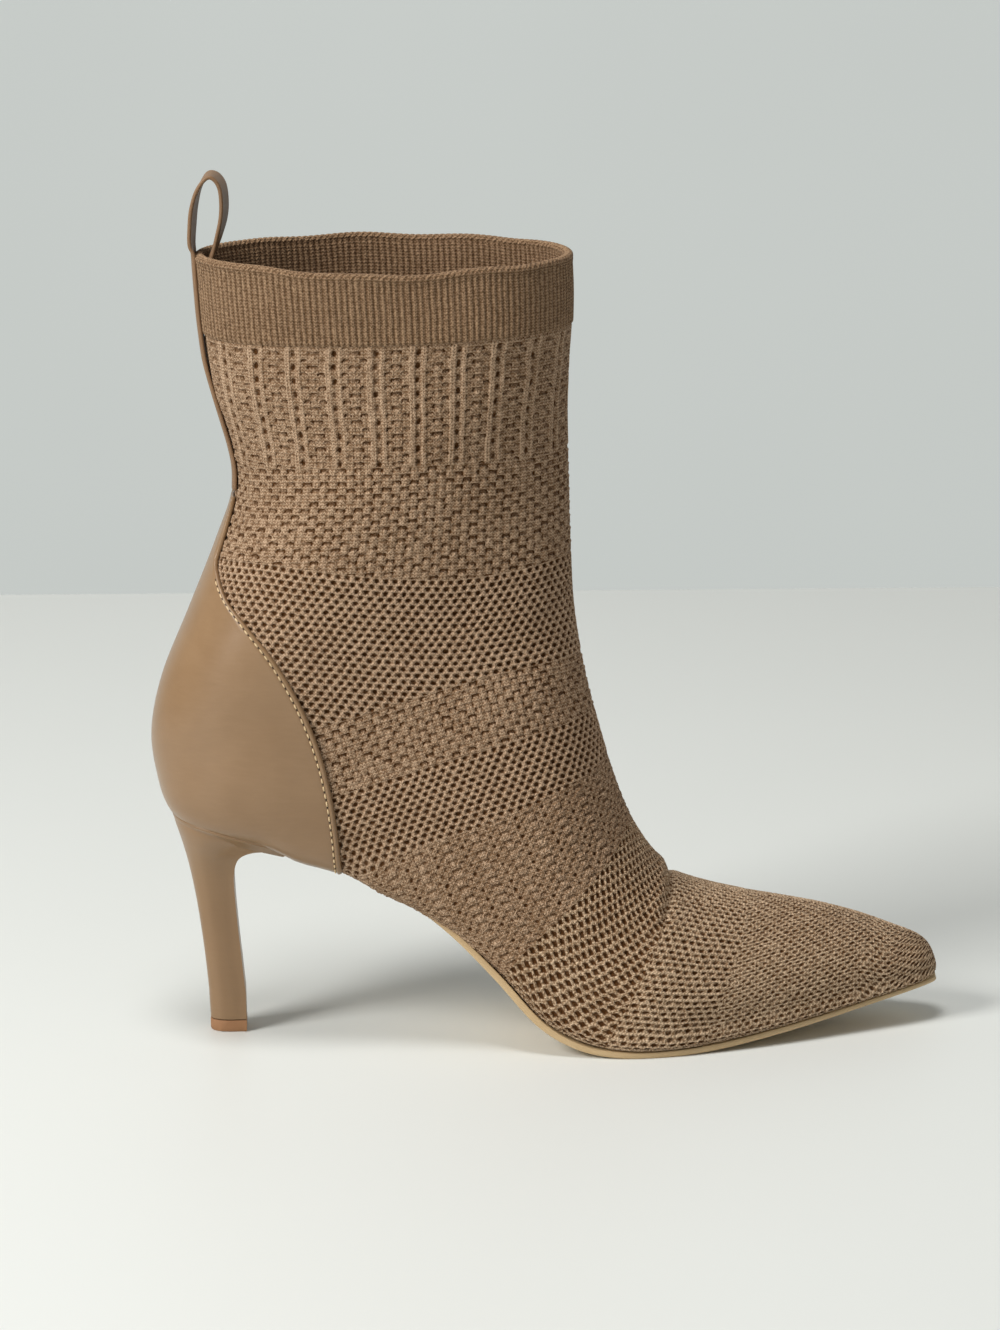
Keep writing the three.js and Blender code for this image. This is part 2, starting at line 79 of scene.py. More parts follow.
class Wire:
    """One output of a node tree, on which arithmetic adds Math nodes."""

    __add__ = __radd__ = maths("ADD")
    __sub__ = maths("SUBTRACT")
    __rsub__ = maths("SUBTRACT", swapped=True)
    __mul__ = __rmul__ = maths("MULTIPLY")
    __truediv__ = maths("DIVIDE")
    __abs__ = maths("ABSOLUTE")
    floor, fract, sin, root, most = map(maths, ("FLOOR", "FRACT", "SINE", "SQRT", "MAXIMUM"))

    def __init__(self, tree: "Tree", socket: bpy.types.NodeSocket) -> None:
        """Wraps a socket.

        Args:
            tree: the tree that the socket belongs to.
            socket: the output socket.
        """
        self.tree = tree
        self.socket = socket

    def ramp(self, low: float, high: float) -> "Wire":
        """Rises smoothly from 0 at low to 1 at high.

        Args:
            low: where the rise starts.
            high: where it ends; below low, the wire falls instead.

        Returns:
            The smooth step.
        """
        values = {0: self, 1: low, 2: high, 3: 0.0, 4: 1.0}
        if high < low:
            values = {0: self, 1: high, 2: low, 3: 1.0, 4: 0.0}
        kind = {"interpolation_type": "SMOOTHSTEP", "clamp": True}
        return self.tree.wire("ShaderNodeMapRange", kind, values)


class Tree:
    """Builds the nodes of a material or of a geometry group."""

    def __init__(self, tree: bpy.types.NodeTree) -> None:
        """Empties a node tree and keeps it.

        Args:
            tree: the tree to fill.
        """
        self.tree = tree
        tree.nodes.clear()

    def node(
        self, kind: str, settings: Inputs | None = None, values: Inputs | None = None,
    ) -> bpy.types.Node:
        """Adds a node.

        Args:
            kind: the node's type.
            settings: its own settings, set first.
            values: numbers, vectors or wires for its inputs, by name or place.

        Returns:
            The node.
        """
        node = self.tree.nodes.new(kind)
        for name, value in (settings or {}).items():
            setattr(node, name, value)
        for key, value in (values or {}).items():
            socket = node.inputs[key]
            if isinstance(value, Wire):
                self.tree.links.new(value.socket, socket)
            else:
                socket.default_value = value
        return node

    def wire(
        self, kind: str, settings: Inputs | None = None, values: Inputs | None = None,
        out: int | str = 0,
    ) -> Wire:
        """Adds a node and returns one of its outputs.

        Args:
            kind: the node's type.
            settings: its own settings.
            values: its inputs.
            out: the output's name or place.

        Returns:
            The output.
        """
        return Wire(self, self.node(kind, settings, values).outputs[out])

    def math(self, operation: str, *values: Any) -> Wire:
        """Adds a Math node on up to three values."""
        return self.wire("ShaderNodeMath", {"operation": operation}, dict(enumerate(values)))

    def mix(self, share: Any, first: Any, second: Any) -> Wire:
        """Mixes two colours.

        Args:
            share: 0 for the first colour, 1 for the second.
            first: a colour or a wire.
            second: a colour or a wire.

        Returns:
            The mixed colour.
        """
        kind = {"data_type": "RGBA", "blend_type": "MIX", "clamp_factor": True}
        return self.wire("ShaderNodeMix", kind, {0: share, 6: first, 7: second}, 2)

    def noise(self, place: Wire, scale: float, detail: float = 2.0, rough: float = 0.5) -> Wire:
        """Soft noise between 0 and 1 at a place."""
        values = {"Vector": place, "Scale": scale, "Detail": detail, "Roughness": rough}
        return self.wire("ShaderNodeTexNoise", None, values)

    def bump(self, height: Wire, strength: float, distance: float) -> Wire:
        """A bump of a height, over a distance in metres."""
        values = {"Strength": strength, "Distance": distance, "Height": height}
        return self.wire("ShaderNodeBump", None, values)

    def parts(self, vector: Wire) -> list[Wire]:
        """The three parts of a vector."""
        node = self.node("ShaderNodeSeparateXYZ", None, {0: vector})
        return [Wire(self, output) for output in node.outputs]


class Group:
    """A geometry group that takes a mesh and some numbers and hands out a mesh."""

    def __init__(self, name: str, mesh: str, numbers: Sequence[str], result: str) -> None:
        """Starts the group.

        Args:
            name: the group's name.
            mesh: name of the mesh input.
            numbers: names of the number inputs.
            result: name of the output.
        """
        self.group = bpy.data.node_groups.new(name, "GeometryNodeTree")
        face = self.group.interface
        face.new_socket(mesh, in_out="INPUT", socket_type="NodeSocketGeometry")
        for number in numbers:
            face.new_socket(number, in_out="INPUT", socket_type="NodeSocketFloat")
        face.new_socket(result, in_out="OUTPUT", socket_type="NodeSocketGeometry")
        self.tree = Tree(self.group)
        given = self.tree.node("NodeGroupInput").outputs
        self.inputs = [Wire(self.tree, given[i]) for i in range(len(numbers) + 1)]

    def kept(self, name: str) -> Wire:
        """The vector kept on each point under a name."""
        kind = {"data_type": "FLOAT_VECTOR"}
        return self.tree.wire("GeometryNodeInputNamedAttribute", kind, {"Name": name})

    def close(self, made: Wire, material: bpy.types.Material) -> None:
        """Sets the finish of what was made and hands it out."""
        values = {"Geometry": made, "Material": material}
        done = self.tree.wire("GeometryNodeSetMaterial", None, values)
        self.tree.node("NodeGroupOutput", None, {0: done})

    def run(self, piece: bpy.types.Object, values: dict[str, float]) -> None:
        """Runs the group on a piece and keeps the result as its mesh.

        Args:
            piece: the object.
            values: the group's numbers, by name.
        """
        modifier = piece.modifiers.new("grow", "NODES")
        modifier.node_group = self.group
        for item in self.group.interface.items_tree:
            if item.in_out == "INPUT" and item.name in values:
                modifier[item.identifier] = values[item.name]
        graph = bpy.context.evaluated_depsgraph_get()
        mesh = bpy.data.meshes.new_from_object(piece.evaluated_get(graph))
        piece.modifiers.clear()
        old, piece.data = piece.data, mesh
        bpy.data.meshes.remove(old)
        mesh.name = piece.name


def linear(colour: Colour) -> tuple[float, float, float, float]:
    """A colour as the shaders take it.

    Args:
        colour: red, green and blue as display values of 0 to 255.

    Returns:
        Linear red, green, blue and an alpha of 1.
    """
    parts = [value / 255 for value in colour]
    made = [v / 12.92 if v <= 0.04045 else ((v + 0.055) / 1.055) ** 2.4 for v in parts]
    return made[0], made[1], made[2], 1.0


class Finish:
    """A finish made round one Principled shader."""

    def inputs(self, tree: Tree, here: Wire) -> dict[str, Any]:
        """The shader's inputs, from the tree and the place on the object."""
        raise NotImplementedError

    def material(self, name: str) -> bpy.types.Material:
        """Makes the material.

        Args:
            name: its name.

        Returns:
            The material.
        """
        made = bpy.data.materials.new(name)
        made.use_nodes = True
        tree = Tree(made.node_tree)
        here = tree.wire("ShaderNodeTexCoord", out="Object")
        shader = tree.wire("ShaderNodeBsdfPrincipled", None, self.inputs(tree, here))
        tree.node("ShaderNodeOutputMaterial", None, {"Surface": shader})
        return made


# Lines and curves.


def smooth(value: Any, low: float, high: float) -> Array:
    """Rises smoothly from 0 at low to 1 at high."""
    t = np.clip((np.asarray(value, float) - low) / (high - low), 0, 1)
    return t * t * (3 - 2 * t)


def bent(value: Any, power: Any) -> Array:
    """A power that keeps the value's sign."""
    return np.sign(value) * np.abs(value) ** power


def curve_through(table: Array, places: Any) -> Array:
    """Smooth curve through the rows of a table.

    Args:
        table: a row for each knot.
        places: row numbers, which may lie between two rows.

    Returns:
        The columns at each place, last axis.
    """
    last = len(table) - 1
    at = np.clip(np.asarray(places, float), 0, last)
    low = np.minimum(np.floor(at).astype(int), last - 1)
    t = (at - low)[..., None]
    a, b, c, d = (table[np.clip(low + i, 0, last)] for i in (-1, 0, 1, 2))
    slope_in, slope_out, rise = (c - a) / 2, (d - b) / 2, c - b
    bend = 3 * rise - 2 * slope_in - slope_out
    return b + t * (slope_in + t * (bend + t * (slope_in + slope_out - 2 * rise)))


def lengths(line: Array) -> Array:
    """How far each point lies along a line of points."""
    return np.concatenate([[0], np.cumsum(np.linalg.norm(np.diff(line, axis=0), axis=1))])


def at_lengths(at: Array, run: Array, line: Array) -> Array:
    """Points of a line at some lengths, where its own points lie at the lengths of run."""
    return np.stack([np.interp(at, run, line[:, i]) for i in range(line.shape[1])], -1)


def evenly(line: Array, count: int) -> Array:
    """A number of points at even distances along a line of points."""
    run = lengths(line)
    return at_lengths(np.linspace(0, run[-1], count), run, line)


# The last.


class Part(IntEnum):
    """Columns of the last's table, and of a row that is read from it."""

    TOP_X, TOP_LIFT, TOP_RISE, SOLE_X, SOLE_LIFT, SOLE_RISE = range(6)
    HALF, TREAD, SWING, WIDE, TOP_POWER, SOLE_POWER = range(6, 12)


class Last:
    """The last of the boot, a right foot, with the same sections as the solids.

    A section runs from a point on the sole or back line to one on the ridge or front line.
    """

    foot_length = 250.0
    half_ball = 37.5
    heel_height = 70.0
    leg_height = 177.0

    # The columns are those of Part. Lengths are shares of the four sizes above.
    rows = np.array([
        [0.8965, 0, 0.107, 0.896, 0, 0.084, 0.075, 0.075, 0.16, 0.45, 2, 2.2],
        [0.8885, 0, 0.132, 0.892, 0, 0.083, 0.15, 0.145, 0.155, 0.4, 2, 3],
        [0.873, 0, 0.151, 0.875, 0, 0.08, 0.245, 0.235, 0.15, 0.34, 2, 4],
        [0.8425, 0, 0.169, 0.8455, 0, 0.0735, 0.335, 0.33, 0.135, 0.3, 2, 5],
        [0.798, 0, 0.193, 0.804, 0, 0.0635, 0.44, 0.43, 0.11, 0.28, 2, 6],
        [0.75, 0, 0.213, 0.758, 0, 0.052, 0.55, 0.54, 0.085, 0.26, 1.95, 6.5],
        [0.7, 0, 0.2275, 0.71, 0, 0.041, 0.675, 0.66, 0.065, 0.25, 1.9, 6.5],
        [0.652, 0, 0.24, 0.66, 0, 0.031, 0.79, 0.775, 0.045, 0.24, 1.9, 6.5],
        [0.612, 0, 0.253, 0.606, 0, 0.0215, 0.9, 0.885, 0.03, 0.24, 1.9, 6.5],
        [0.582, 0, 0.266, 0.552, 0, 0.0165, 0.985, 0.97, 0.015, 0.24, 1.9, 6.5],
        [0.561, 0, 0.2815, 0.496, 0, 0.017, 0.99, 0.975, -0.025, 0.26, 1.9, 6.3],
        [0.543, 0.06, 0.287, 0.442, 0.032, 0.0155, 0.94, 0.92, -0.035, 0.3, 1.85, 6],
        [0.5225, 0.14, 0.294, 0.392, 0.128, 0.0135, 0.875, 0.84, -0.045, 0.34, 1.85, 5.5],
        [0.5015, 0.26, 0.3005, 0.338, 0.333, 0.009, 0.82, 0.735, -0.045, 0.38, 1.85, 5],
        [0.4815, 0.38, 0.33, 0.28, 0.53, 0.005, 0.8, 0.62, -0.04, 0.42, 1.85, 4.6],
        [0.465, 0.52, 0.3525, 0.216, 0.706, 0, 0.79, 0.56, -0.03, 0.44, 1.9, 4.4],
        [0.451, 0.66, 0.375, 0.148, 0.823, 0, 0.79, 0.53, -0.02, 0.45, 1.9, 4.3],
        [0.44, 0.78, 0.4035, 0.08, 0.89, 0, 0.795, 0.52, -0.01, 0.46, 1.95, 4.2],
        [0.4335, 0.88, 0.4315, 0.012, 0.943, 0, 0.8, 0.5, 0, 0.46, 1.95, 4],
        [0.431, 0.95, 0.4605, -0.04, 0.983, 0, 0.805, 0.46, 0, 0.45, 2, 3.2],
        [0.43, 1, 0.486, -0.068, 1, 0.0255, 0.81, 0.3, 0, 0.44, 2, 2.7],
        [0.429, 1, 0.5255, -0.0815, 1, 0.085, 0.815, 0.2, 0, 0.43, 2, 2.3],
        [0.428, 1, 0.5705, -0.0865, 1, 0.158, 0.82, 0.2, 0, 0.43, 2, 2.2],
        [0.427, 1, 0.627, -0.0725, 1, 0.253, 0.827, 0.2, 0, 0.43, 2, 2.1],
        [0.4255, 1, 0.6835, -0.04, 1, 0.366, 0.832, 0.2, 0, 0.44, 2, 2.1],
        [0.425, 1, 0.737, -0.004, 1, 0.494, 0.843, 0.2, 0, 0.45, 2, 2],
        [0.426, 1, 0.7825, 0.0175, 1, 0.5875, 0.86, 0.2, 0, 0.47, 2, 2],
        [0.427, 1, 0.822, 0.012, 1, 0.6665, 0.88, 0.2, 0, 0.48, 2.1, 2],
        [0.4285, 1, 0.853, -0.008, 1, 0.7655, 0.905, 0.2, 0, 0.49, 2.1, 2.1],
        [0.4295, 1, 0.8785, -0.019, 1, 0.8615, 0.925, 0.2, 0, 0.5, 2.2, 2.1],
        [0.43, 1, 0.938, -0.0235, 1, 0.932, 0.94, 0.2, 0, 0.5, 2.2, 2.1],
        [0.428, 1, 1, -0.0265, 1, 1, 0.95, 0.2, 0, 0.5, 2.2, 2.1],
    ])
    top_row = 31
    cuff_row = 29
    lasting_margin = 9.0
    slit_rows = (3.2, 4.6, 18.2, 19.4)
    find_rows = (12.0, 29.0)
    probe = 0.06

    def row_at(self, place: Any) -> Array:
        """The table's columns at row numbers, which may lie between two rows."""
        return curve_through(self.rows, place)

    def ends(self, place: Any) -> tuple[Array, Array]:
        """The sections' sole points and top points as x and z in millimetres.

        Args:
            place: row numbers, which may lie between rows.

        Returns:
            The sole points and the top points.
        """
        s = self.row_at(place)
        high, tall = self.heel_height, self.leg_height
        sole, top = (
            np.stack([
                s[..., x] * self.foot_length, s[..., x + 1] * high + s[..., x + 2] * tall,
            ], -1)
            for x in (Part.SOLE_X, Part.TOP_X)
        )
        return sole, top

    def share(self, s: Array, sin: Array, up: Array) -> Array:
        """Shares of the way from the sole line to the top, at heights over the widest place."""
        wide = s[..., Part.WIDE]
        return wide + np.where(sin >= 0, 1 - wide, wide) * up

    def point(self, place: Any, angle: Any) -> Array:
        """Points on the last.

        Args:
            place: row numbers.
            angle: angles round the section, -90 degrees at the sole or back line.

        Returns:
            Points in millimetres, last axis.
        """
        s = self.row_at(place)
        sole, top = self.ends(place)
        cos, sin = np.cos(angle), np.sin(angle)
        power = 2 / np.where(sin >= 0, s[..., Part.TOP_POWER], s[..., Part.SOLE_POWER])
        flat = sole + (top - sole) * self.share(s, sin, bent(sin, power))[..., None]
        out = s[..., Part.SWING] + s[..., Part.HALF] * bent(cos, power)
        return np.stack([flat[..., 0], self.half_ball * out, flat[..., 1]], -1)

    def turned(self, place: Any, turn: Any) -> tuple[Array, Array]:
        """A section's own angle for a plain turn about its widest place.

        Args:
            place: row numbers.
            turn: plain turns, -90 degrees at the sole or back line.

        Returns:
            The angles that point() takes, and the shares of the way from the sole line to the top.
        """
        s = self.row_at(place)
        cos, sin = np.cos(turn), np.sin(turn)
        power = np.where(sin >= 0, s[..., Part.TOP_POWER], s[..., Part.SOLE_POWER])
        reach = (np.abs(cos) ** power + np.abs(sin) ** power) ** (1 / power)
        out, up = cos / reach, sin / reach
        return np.arctan2(bent(up, power / 2), bent(out, power / 2)), self.share(s, sin, up)

    def slit(self, place: Any) -> Array:
        """Half the plain turn of the opening under the foot, 0 where the knit is closed.

        Args:
            place: row numbers.

        Returns:
            The half openings in radians.
        """
        s = self.row_at(place)
        power = s[..., Part.SOLE_POWER]
        half = np.maximum(s[..., Part.TREAD] * self.half_ball - self.lasting_margin, 2.0)
        start, open_from, open_to, end = self.slit_rows
        half = half * smooth(place, start, open_from) * (1 - smooth(place, open_to, end))
        out = np.clip(half / (s[..., Part.HALF] * self.half_ball), 0, 0.99)
        return np.arctan2(out, (1 - out ** power) ** (1 / power))

    def off(self, place: Any, angle: Any, offset: Any = 0.0) -> Array:
        """Points at a distance off the last along its outward normal.

        Args:
            place: row numbers.
            angle: angles round the section.
            offset: distances in millimetres.

        Returns:
            Points in millimetres, last axis.
        """
        place, angle, offset = np.broadcast_arrays(*map(np.asarray, (place, angle, offset)))
        after = np.minimum(place + self.probe, self.top_row)
        before = np.maximum(place - self.probe, 0)
        along = self.point(after, angle) - self.point(before, angle)
        around = self.point(place, angle + self.probe) - self.point(place, angle - self.probe)
        normal = np.cross(along, around)
        normal /= np.linalg.norm(normal, axis=-1, keepdims=True)
        return self.point(place, angle) + normal * offset[..., None]

    def find(self, x: Any, z: Any) -> tuple[Array, Array]:
        """Row and angle on the +Y side at places seen from the side, among find_rows.

        Args:
            x: places along the foot in millimetres.
            z: heights in millimetres.

        Returns:
            Row numbers and angles between -90 and 90 degrees.
        """
        x, z = np.broadcast_arrays(np.asarray(x, float), np.asarray(z, float))
        at = np.stack([x, z], -1)
        first, last = (np.full(x.shape, row) for row in self.find_rows)
        for _ in range(32):
            middle = (first + last) / 2
            sole, top = self.ends(middle)
            ray, to = top - sole, at - sole
            above = ray[..., 0] * to[..., 1] - ray[..., 1] * to[..., 0] < 0
            first, last = np.where(above, first, middle), np.where(above, middle, last)
        row = (first + last) / 2
        sole, top = self.ends(row)
        share = np.sum((at - sole) * (top - sole), -1) / np.sum((top - sole) ** 2, -1)
        s = self.row_at(row)
        wide = s[..., Part.WIDE]
        over = share - wide
        up = np.clip(np.where(over >= 0, over / (1 - wide), over / wide), -1, 1)
        power = np.where(up >= 0, s[..., Part.TOP_POWER], s[..., Part.SOLE_POWER]) / 2
        return row, np.arcsin(bent(up, power))

    def sole_line(self, place: Any, offset: Any) -> Array:
        """The sole line moved square to itself, as x and z in millimetres.

        Args:
            place: row numbers.
            offset: how far to move it, up being positive.

        Returns:
            The moved points.
        """
        place = np.asarray(place, float)
        along = self.ends(place + 0.1)[0] - self.ends(place - 0.1)[0]
        along /= np.linalg.norm(along, axis=-1, keepdims=True)
        offset = np.asarray(offset, float)
        return self.ends(place)[0] + np.stack([along[..., 1] * offset, -along[..., 0] * offset], -1)


def settled(points: Array) -> Array:
    """Moves points of the knit as the soft boot stands: a sagging rim and one crease.

    Args:
        points: points in millimetres.

    Returns:
        The moved points.
    """
    x, y, z = points[..., 0], points[..., 1], points[..., 2]
    moved = points.copy()
    top = smooth(z, 222, 247)
    near, far = smooth(-y, 4, 28), smooth(y, 4, 28)
    away = smooth(x, 4, 22) * (1 - smooth(x, 88, 104))
    moved[..., 2] -= top * near * away * 1.9 * np.exp(-(((x - 52) / 26) ** 2))
    moved[..., 2] += top * away * 0.35 * np.sin(x / 5.5) * (near + far)
    moved[..., 1] -= top * near * away * 1.1 * np.sin((x - 8) / 12.5)
    moved[..., 1] += top * far * away * 1.2 * np.sin((x - 20) / 14)
    leg = smooth(z, 80, 110) * (1 - top)
    swell = 0.45 * np.sin(z / 13 + 0.6) * np.sin(x / 17 + z / 41) * leg * smooth(np.abs(y), 6, 22)
    moved[..., 1] += np.sign(y) * swell
    fold = np.exp(-(((x - 0.36 * z - 121.5) / 1.7) ** 2)) * smooth(z, 36, 44)
    ridge = np.exp(-(((x - 0.36 * z - 117.6) / 2.2) ** 2)) * smooth(z, 36, 44)
    moved[..., 2] -= 1.1 * fold - 0.7 * ridge
    moved[..., 0] -= 0.4 * fold
    return moved


def lapped(last: Last, points: Array) -> Array:
    """Lets the upper hang by up to LAP over the edge of the sole from the heel to the waist.

    Args:
        last: the last.
        points: points in millimetres.

    Returns:
        The moved points.
    """
    line = last.ends(np.linspace(19, 10, 200))[0]
    x, y, z = points[..., 0], points[..., 1], points[..., 2]
    low = 1 - smooth(z - np.interp(x, line[:, 0], line[:, 1]), 1.5, 12)
    behind, ahead, side = smooth(x, 10, 24), 1 - smooth(x, 46, 74), smooth(np.abs(y), 12, 21)
    moved = points.copy()
    moved[..., 2] -= LAP * low * behind * ahead * side
    return moved


# Meshes.


def strips(rows: int, columns: int, closed: bool = False) -> Array:
    """Faces between the neighbouring points of a grid.

    Args:
        rows: how many rows of points there are.
        columns: how many points a row has.
        closed: joins the last column to the first.

    Returns:
        Four point numbers a face.
    """
    number = np.arange(rows * columns).reshape(rows, columns)
    wide = np.concatenate([number, number[:, :1]], 1) if closed else number
    return np.stack([wide[:-1, :-1], wide[:-1, 1:], wide[1:, 1:], wide[1:, :-1]], -1).reshape(-1, 4)


def keep_vectors(piece: bpy.types.Object, name: str, values: Array) -> None:
    """Keeps a vector on each point of an object."""
    layer = piece.data.attributes.new(name, "FLOAT_VECTOR", "POINT")
    layer.data.foreach_set("vector", values.astype(np.float32).ravel())


@dataclass
class Net:
    """A grid of points with what the finish needs to follow it.

    Attributes:
        points: points in millimetres, rows along and columns across.
        pattern: x and y of the stitch pattern in millimetres, for each point.
        fade: how much of the relief shows at each point, 0 to 1.
    """

    points: Array
    pattern: Array
    fade: Array | None = None

    def nosed(self) -> "Net":
        """Closes the first row with a rounded nose.

        Returns:
            The net with the nose's rows ahead of its own.
        """
        first, middle = self.points[0], self.points[0].mean(0)
        ahead = middle - self.points[1].mean(0)
        ahead /= np.linalg.norm(ahead)
        steps = ((0.0, 0.75), (0.4, 0.65), (0.75, 0.4))
        nose = [middle + (first - middle) * share + ahead * reach for share, reach in steps]
        count = len(steps)
        return Net(
            np.concatenate([np.stack(nose), self.points]),
            np.concatenate([np.repeat(self.pattern[:1], count, 0), self.pattern]),
            np.concatenate([np.zeros((count, first.shape[0])), self.fade]),
        )

    def mesh(self, name: str, flip: bool = False) -> bpy.types.Object:
        """Makes an object of the grid.

        Args:
            name: the object's name.
            flip: turns the faces round.

        Returns:
            The object, in metres.
        """
        quads = strips(*self.points.shape[:2])
        quads = quads[:, ::-1] if flip else quads
        made = solid_mesh(name, self.points.reshape(-1, 3), quads)
        flat = self.pattern.reshape(-1, 2)
        layer = made.data.uv_layers.new(name="stitch")
        layer.data.foreach_set("uv", flat[quads.ravel()].astype(np.float32).ravel())
        fade = np.ones(len(flat)) if self.fade is None else self.fade.ravel()
        keep_vectors(made, "stitch_at", np.column_stack([flat, fade]))
        return made


def solid_mesh(name: str, points: Array, faces: Sequence[Sequence[int]]) -> bpy.types.Object:
    """Makes a smooth-shaded object.

    Args:
        name: the object's name.
        points: points in millimetres.
        faces: point numbers of each face.

    Returns:
        The object, in metres, linked to the scene.
    """
    mesh = bpy.data.meshes.new(name)
    faces = faces.tolist() if isinstance(faces, np.ndarray) else faces
    mesh.from_pydata((np.asarray(points) * MM).tolist(), [], faces)
    mesh.shade_smooth()
    made = bpy.data.objects.new(name, mesh)
    bpy.context.scene.collection.objects.link(made)
    return made


def tube(name: str, rings: Array, caps: str = "pairs") -> bpy.types.Object:
    """Makes a closed solid through rings of equal length.

    Args:
        name: the object's name.
        rings: rings of points, in millimetres.
        caps: "pairs" closes an end between opposite points, "fan" round its middle.

    Returns:
        The object, with its faces outwards.
    """
    count, size = rings.shape[:2]
    points = rings.reshape(-1, 3).tolist()
    faces = strips(count, size, True).tolist()
    for ring in (0, count - 1):
        row = list(range(ring * size, (ring + 1) * size))
        if caps == "fan":
            points.append(rings[ring].mean(0).tolist())
            hub = len(points) - 1
            around = [[row[i], row[(i + 1) % size], hub] for i in range(size)]
        else:
            around = [[row[i], row[i + 1], row[-2 - i], row[-1 - i]] for i in range(size // 2 - 1)]
        faces += [face[::-1] if ring == 0 else face for face in around]
    made = solid_mesh(name, np.array(points), faces)
    weld(made)
    return made


def weld(piece: bpy.types.Object, near: float = 1e-6, sheet: bool = False) -> None:
    """Merges doubles.

    Args:
        piece: the object, a closed shell whose faces are also turned outwards.
        near: how near two points are one, in metres.
        sheet: an open sheet instead, where only points on its edges are merged.
    """
    work = bmesh.new()
    work.from_mesh(piece.data)
    points = [point for point in work.verts if point.is_boundary or not sheet]
    bmesh.ops.remove_doubles(work, verts=points, dist=near)
    if not sheet:
        bmesh.ops.recalc_face_normals(work, faces=work.faces)
    work.to_mesh(piece.data)
    work.free()
    piece.data.shade_smooth()


def joined(pieces: Sequence[bpy.types.Object], name: str) -> bpy.types.Object:
    """Joins objects into one.

    Args:
        pieces: objects at the origin.
        name: the name of the result.

    Returns:
        The joined object.
    """
    first = pieces[0]
    if len(pieces) > 1:
        with bpy.context.temp_override(active_object=first, selected_editable_objects=list(pieces)):
            bpy.ops.object.join()
    first.name = first.data.name = name
    return first


def seat(
    piece: bpy.types.Object, node: str, material: bpy.types.Material | None = None,
) -> None:
    """Makes a piece ride on the boot in place of a node, whose solid it hides.

    Args:
        piece: the object.
        node: the solid that it stands for.
        material: its finish, where it has none yet.
    """
    if material is not None:
        piece.data.materials.clear()
        piece.data.materials.append(material)
    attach(piece, "root")
    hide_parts(node)
    LOG.info("%s: %d faces", piece.name, len(piece.data.polygons))


# Stitches of the knit.


class Stitch(Enum):
    """The ways the upper is knitted, from the collar down to the toe."""

    RIB = "rib"
    CABLE = "cable"
    ARCH = "arch"
    EYELET = "eyelet"
    LATTICE = "lattice"
    LADDER = "ladder"
    FINE = "fine"


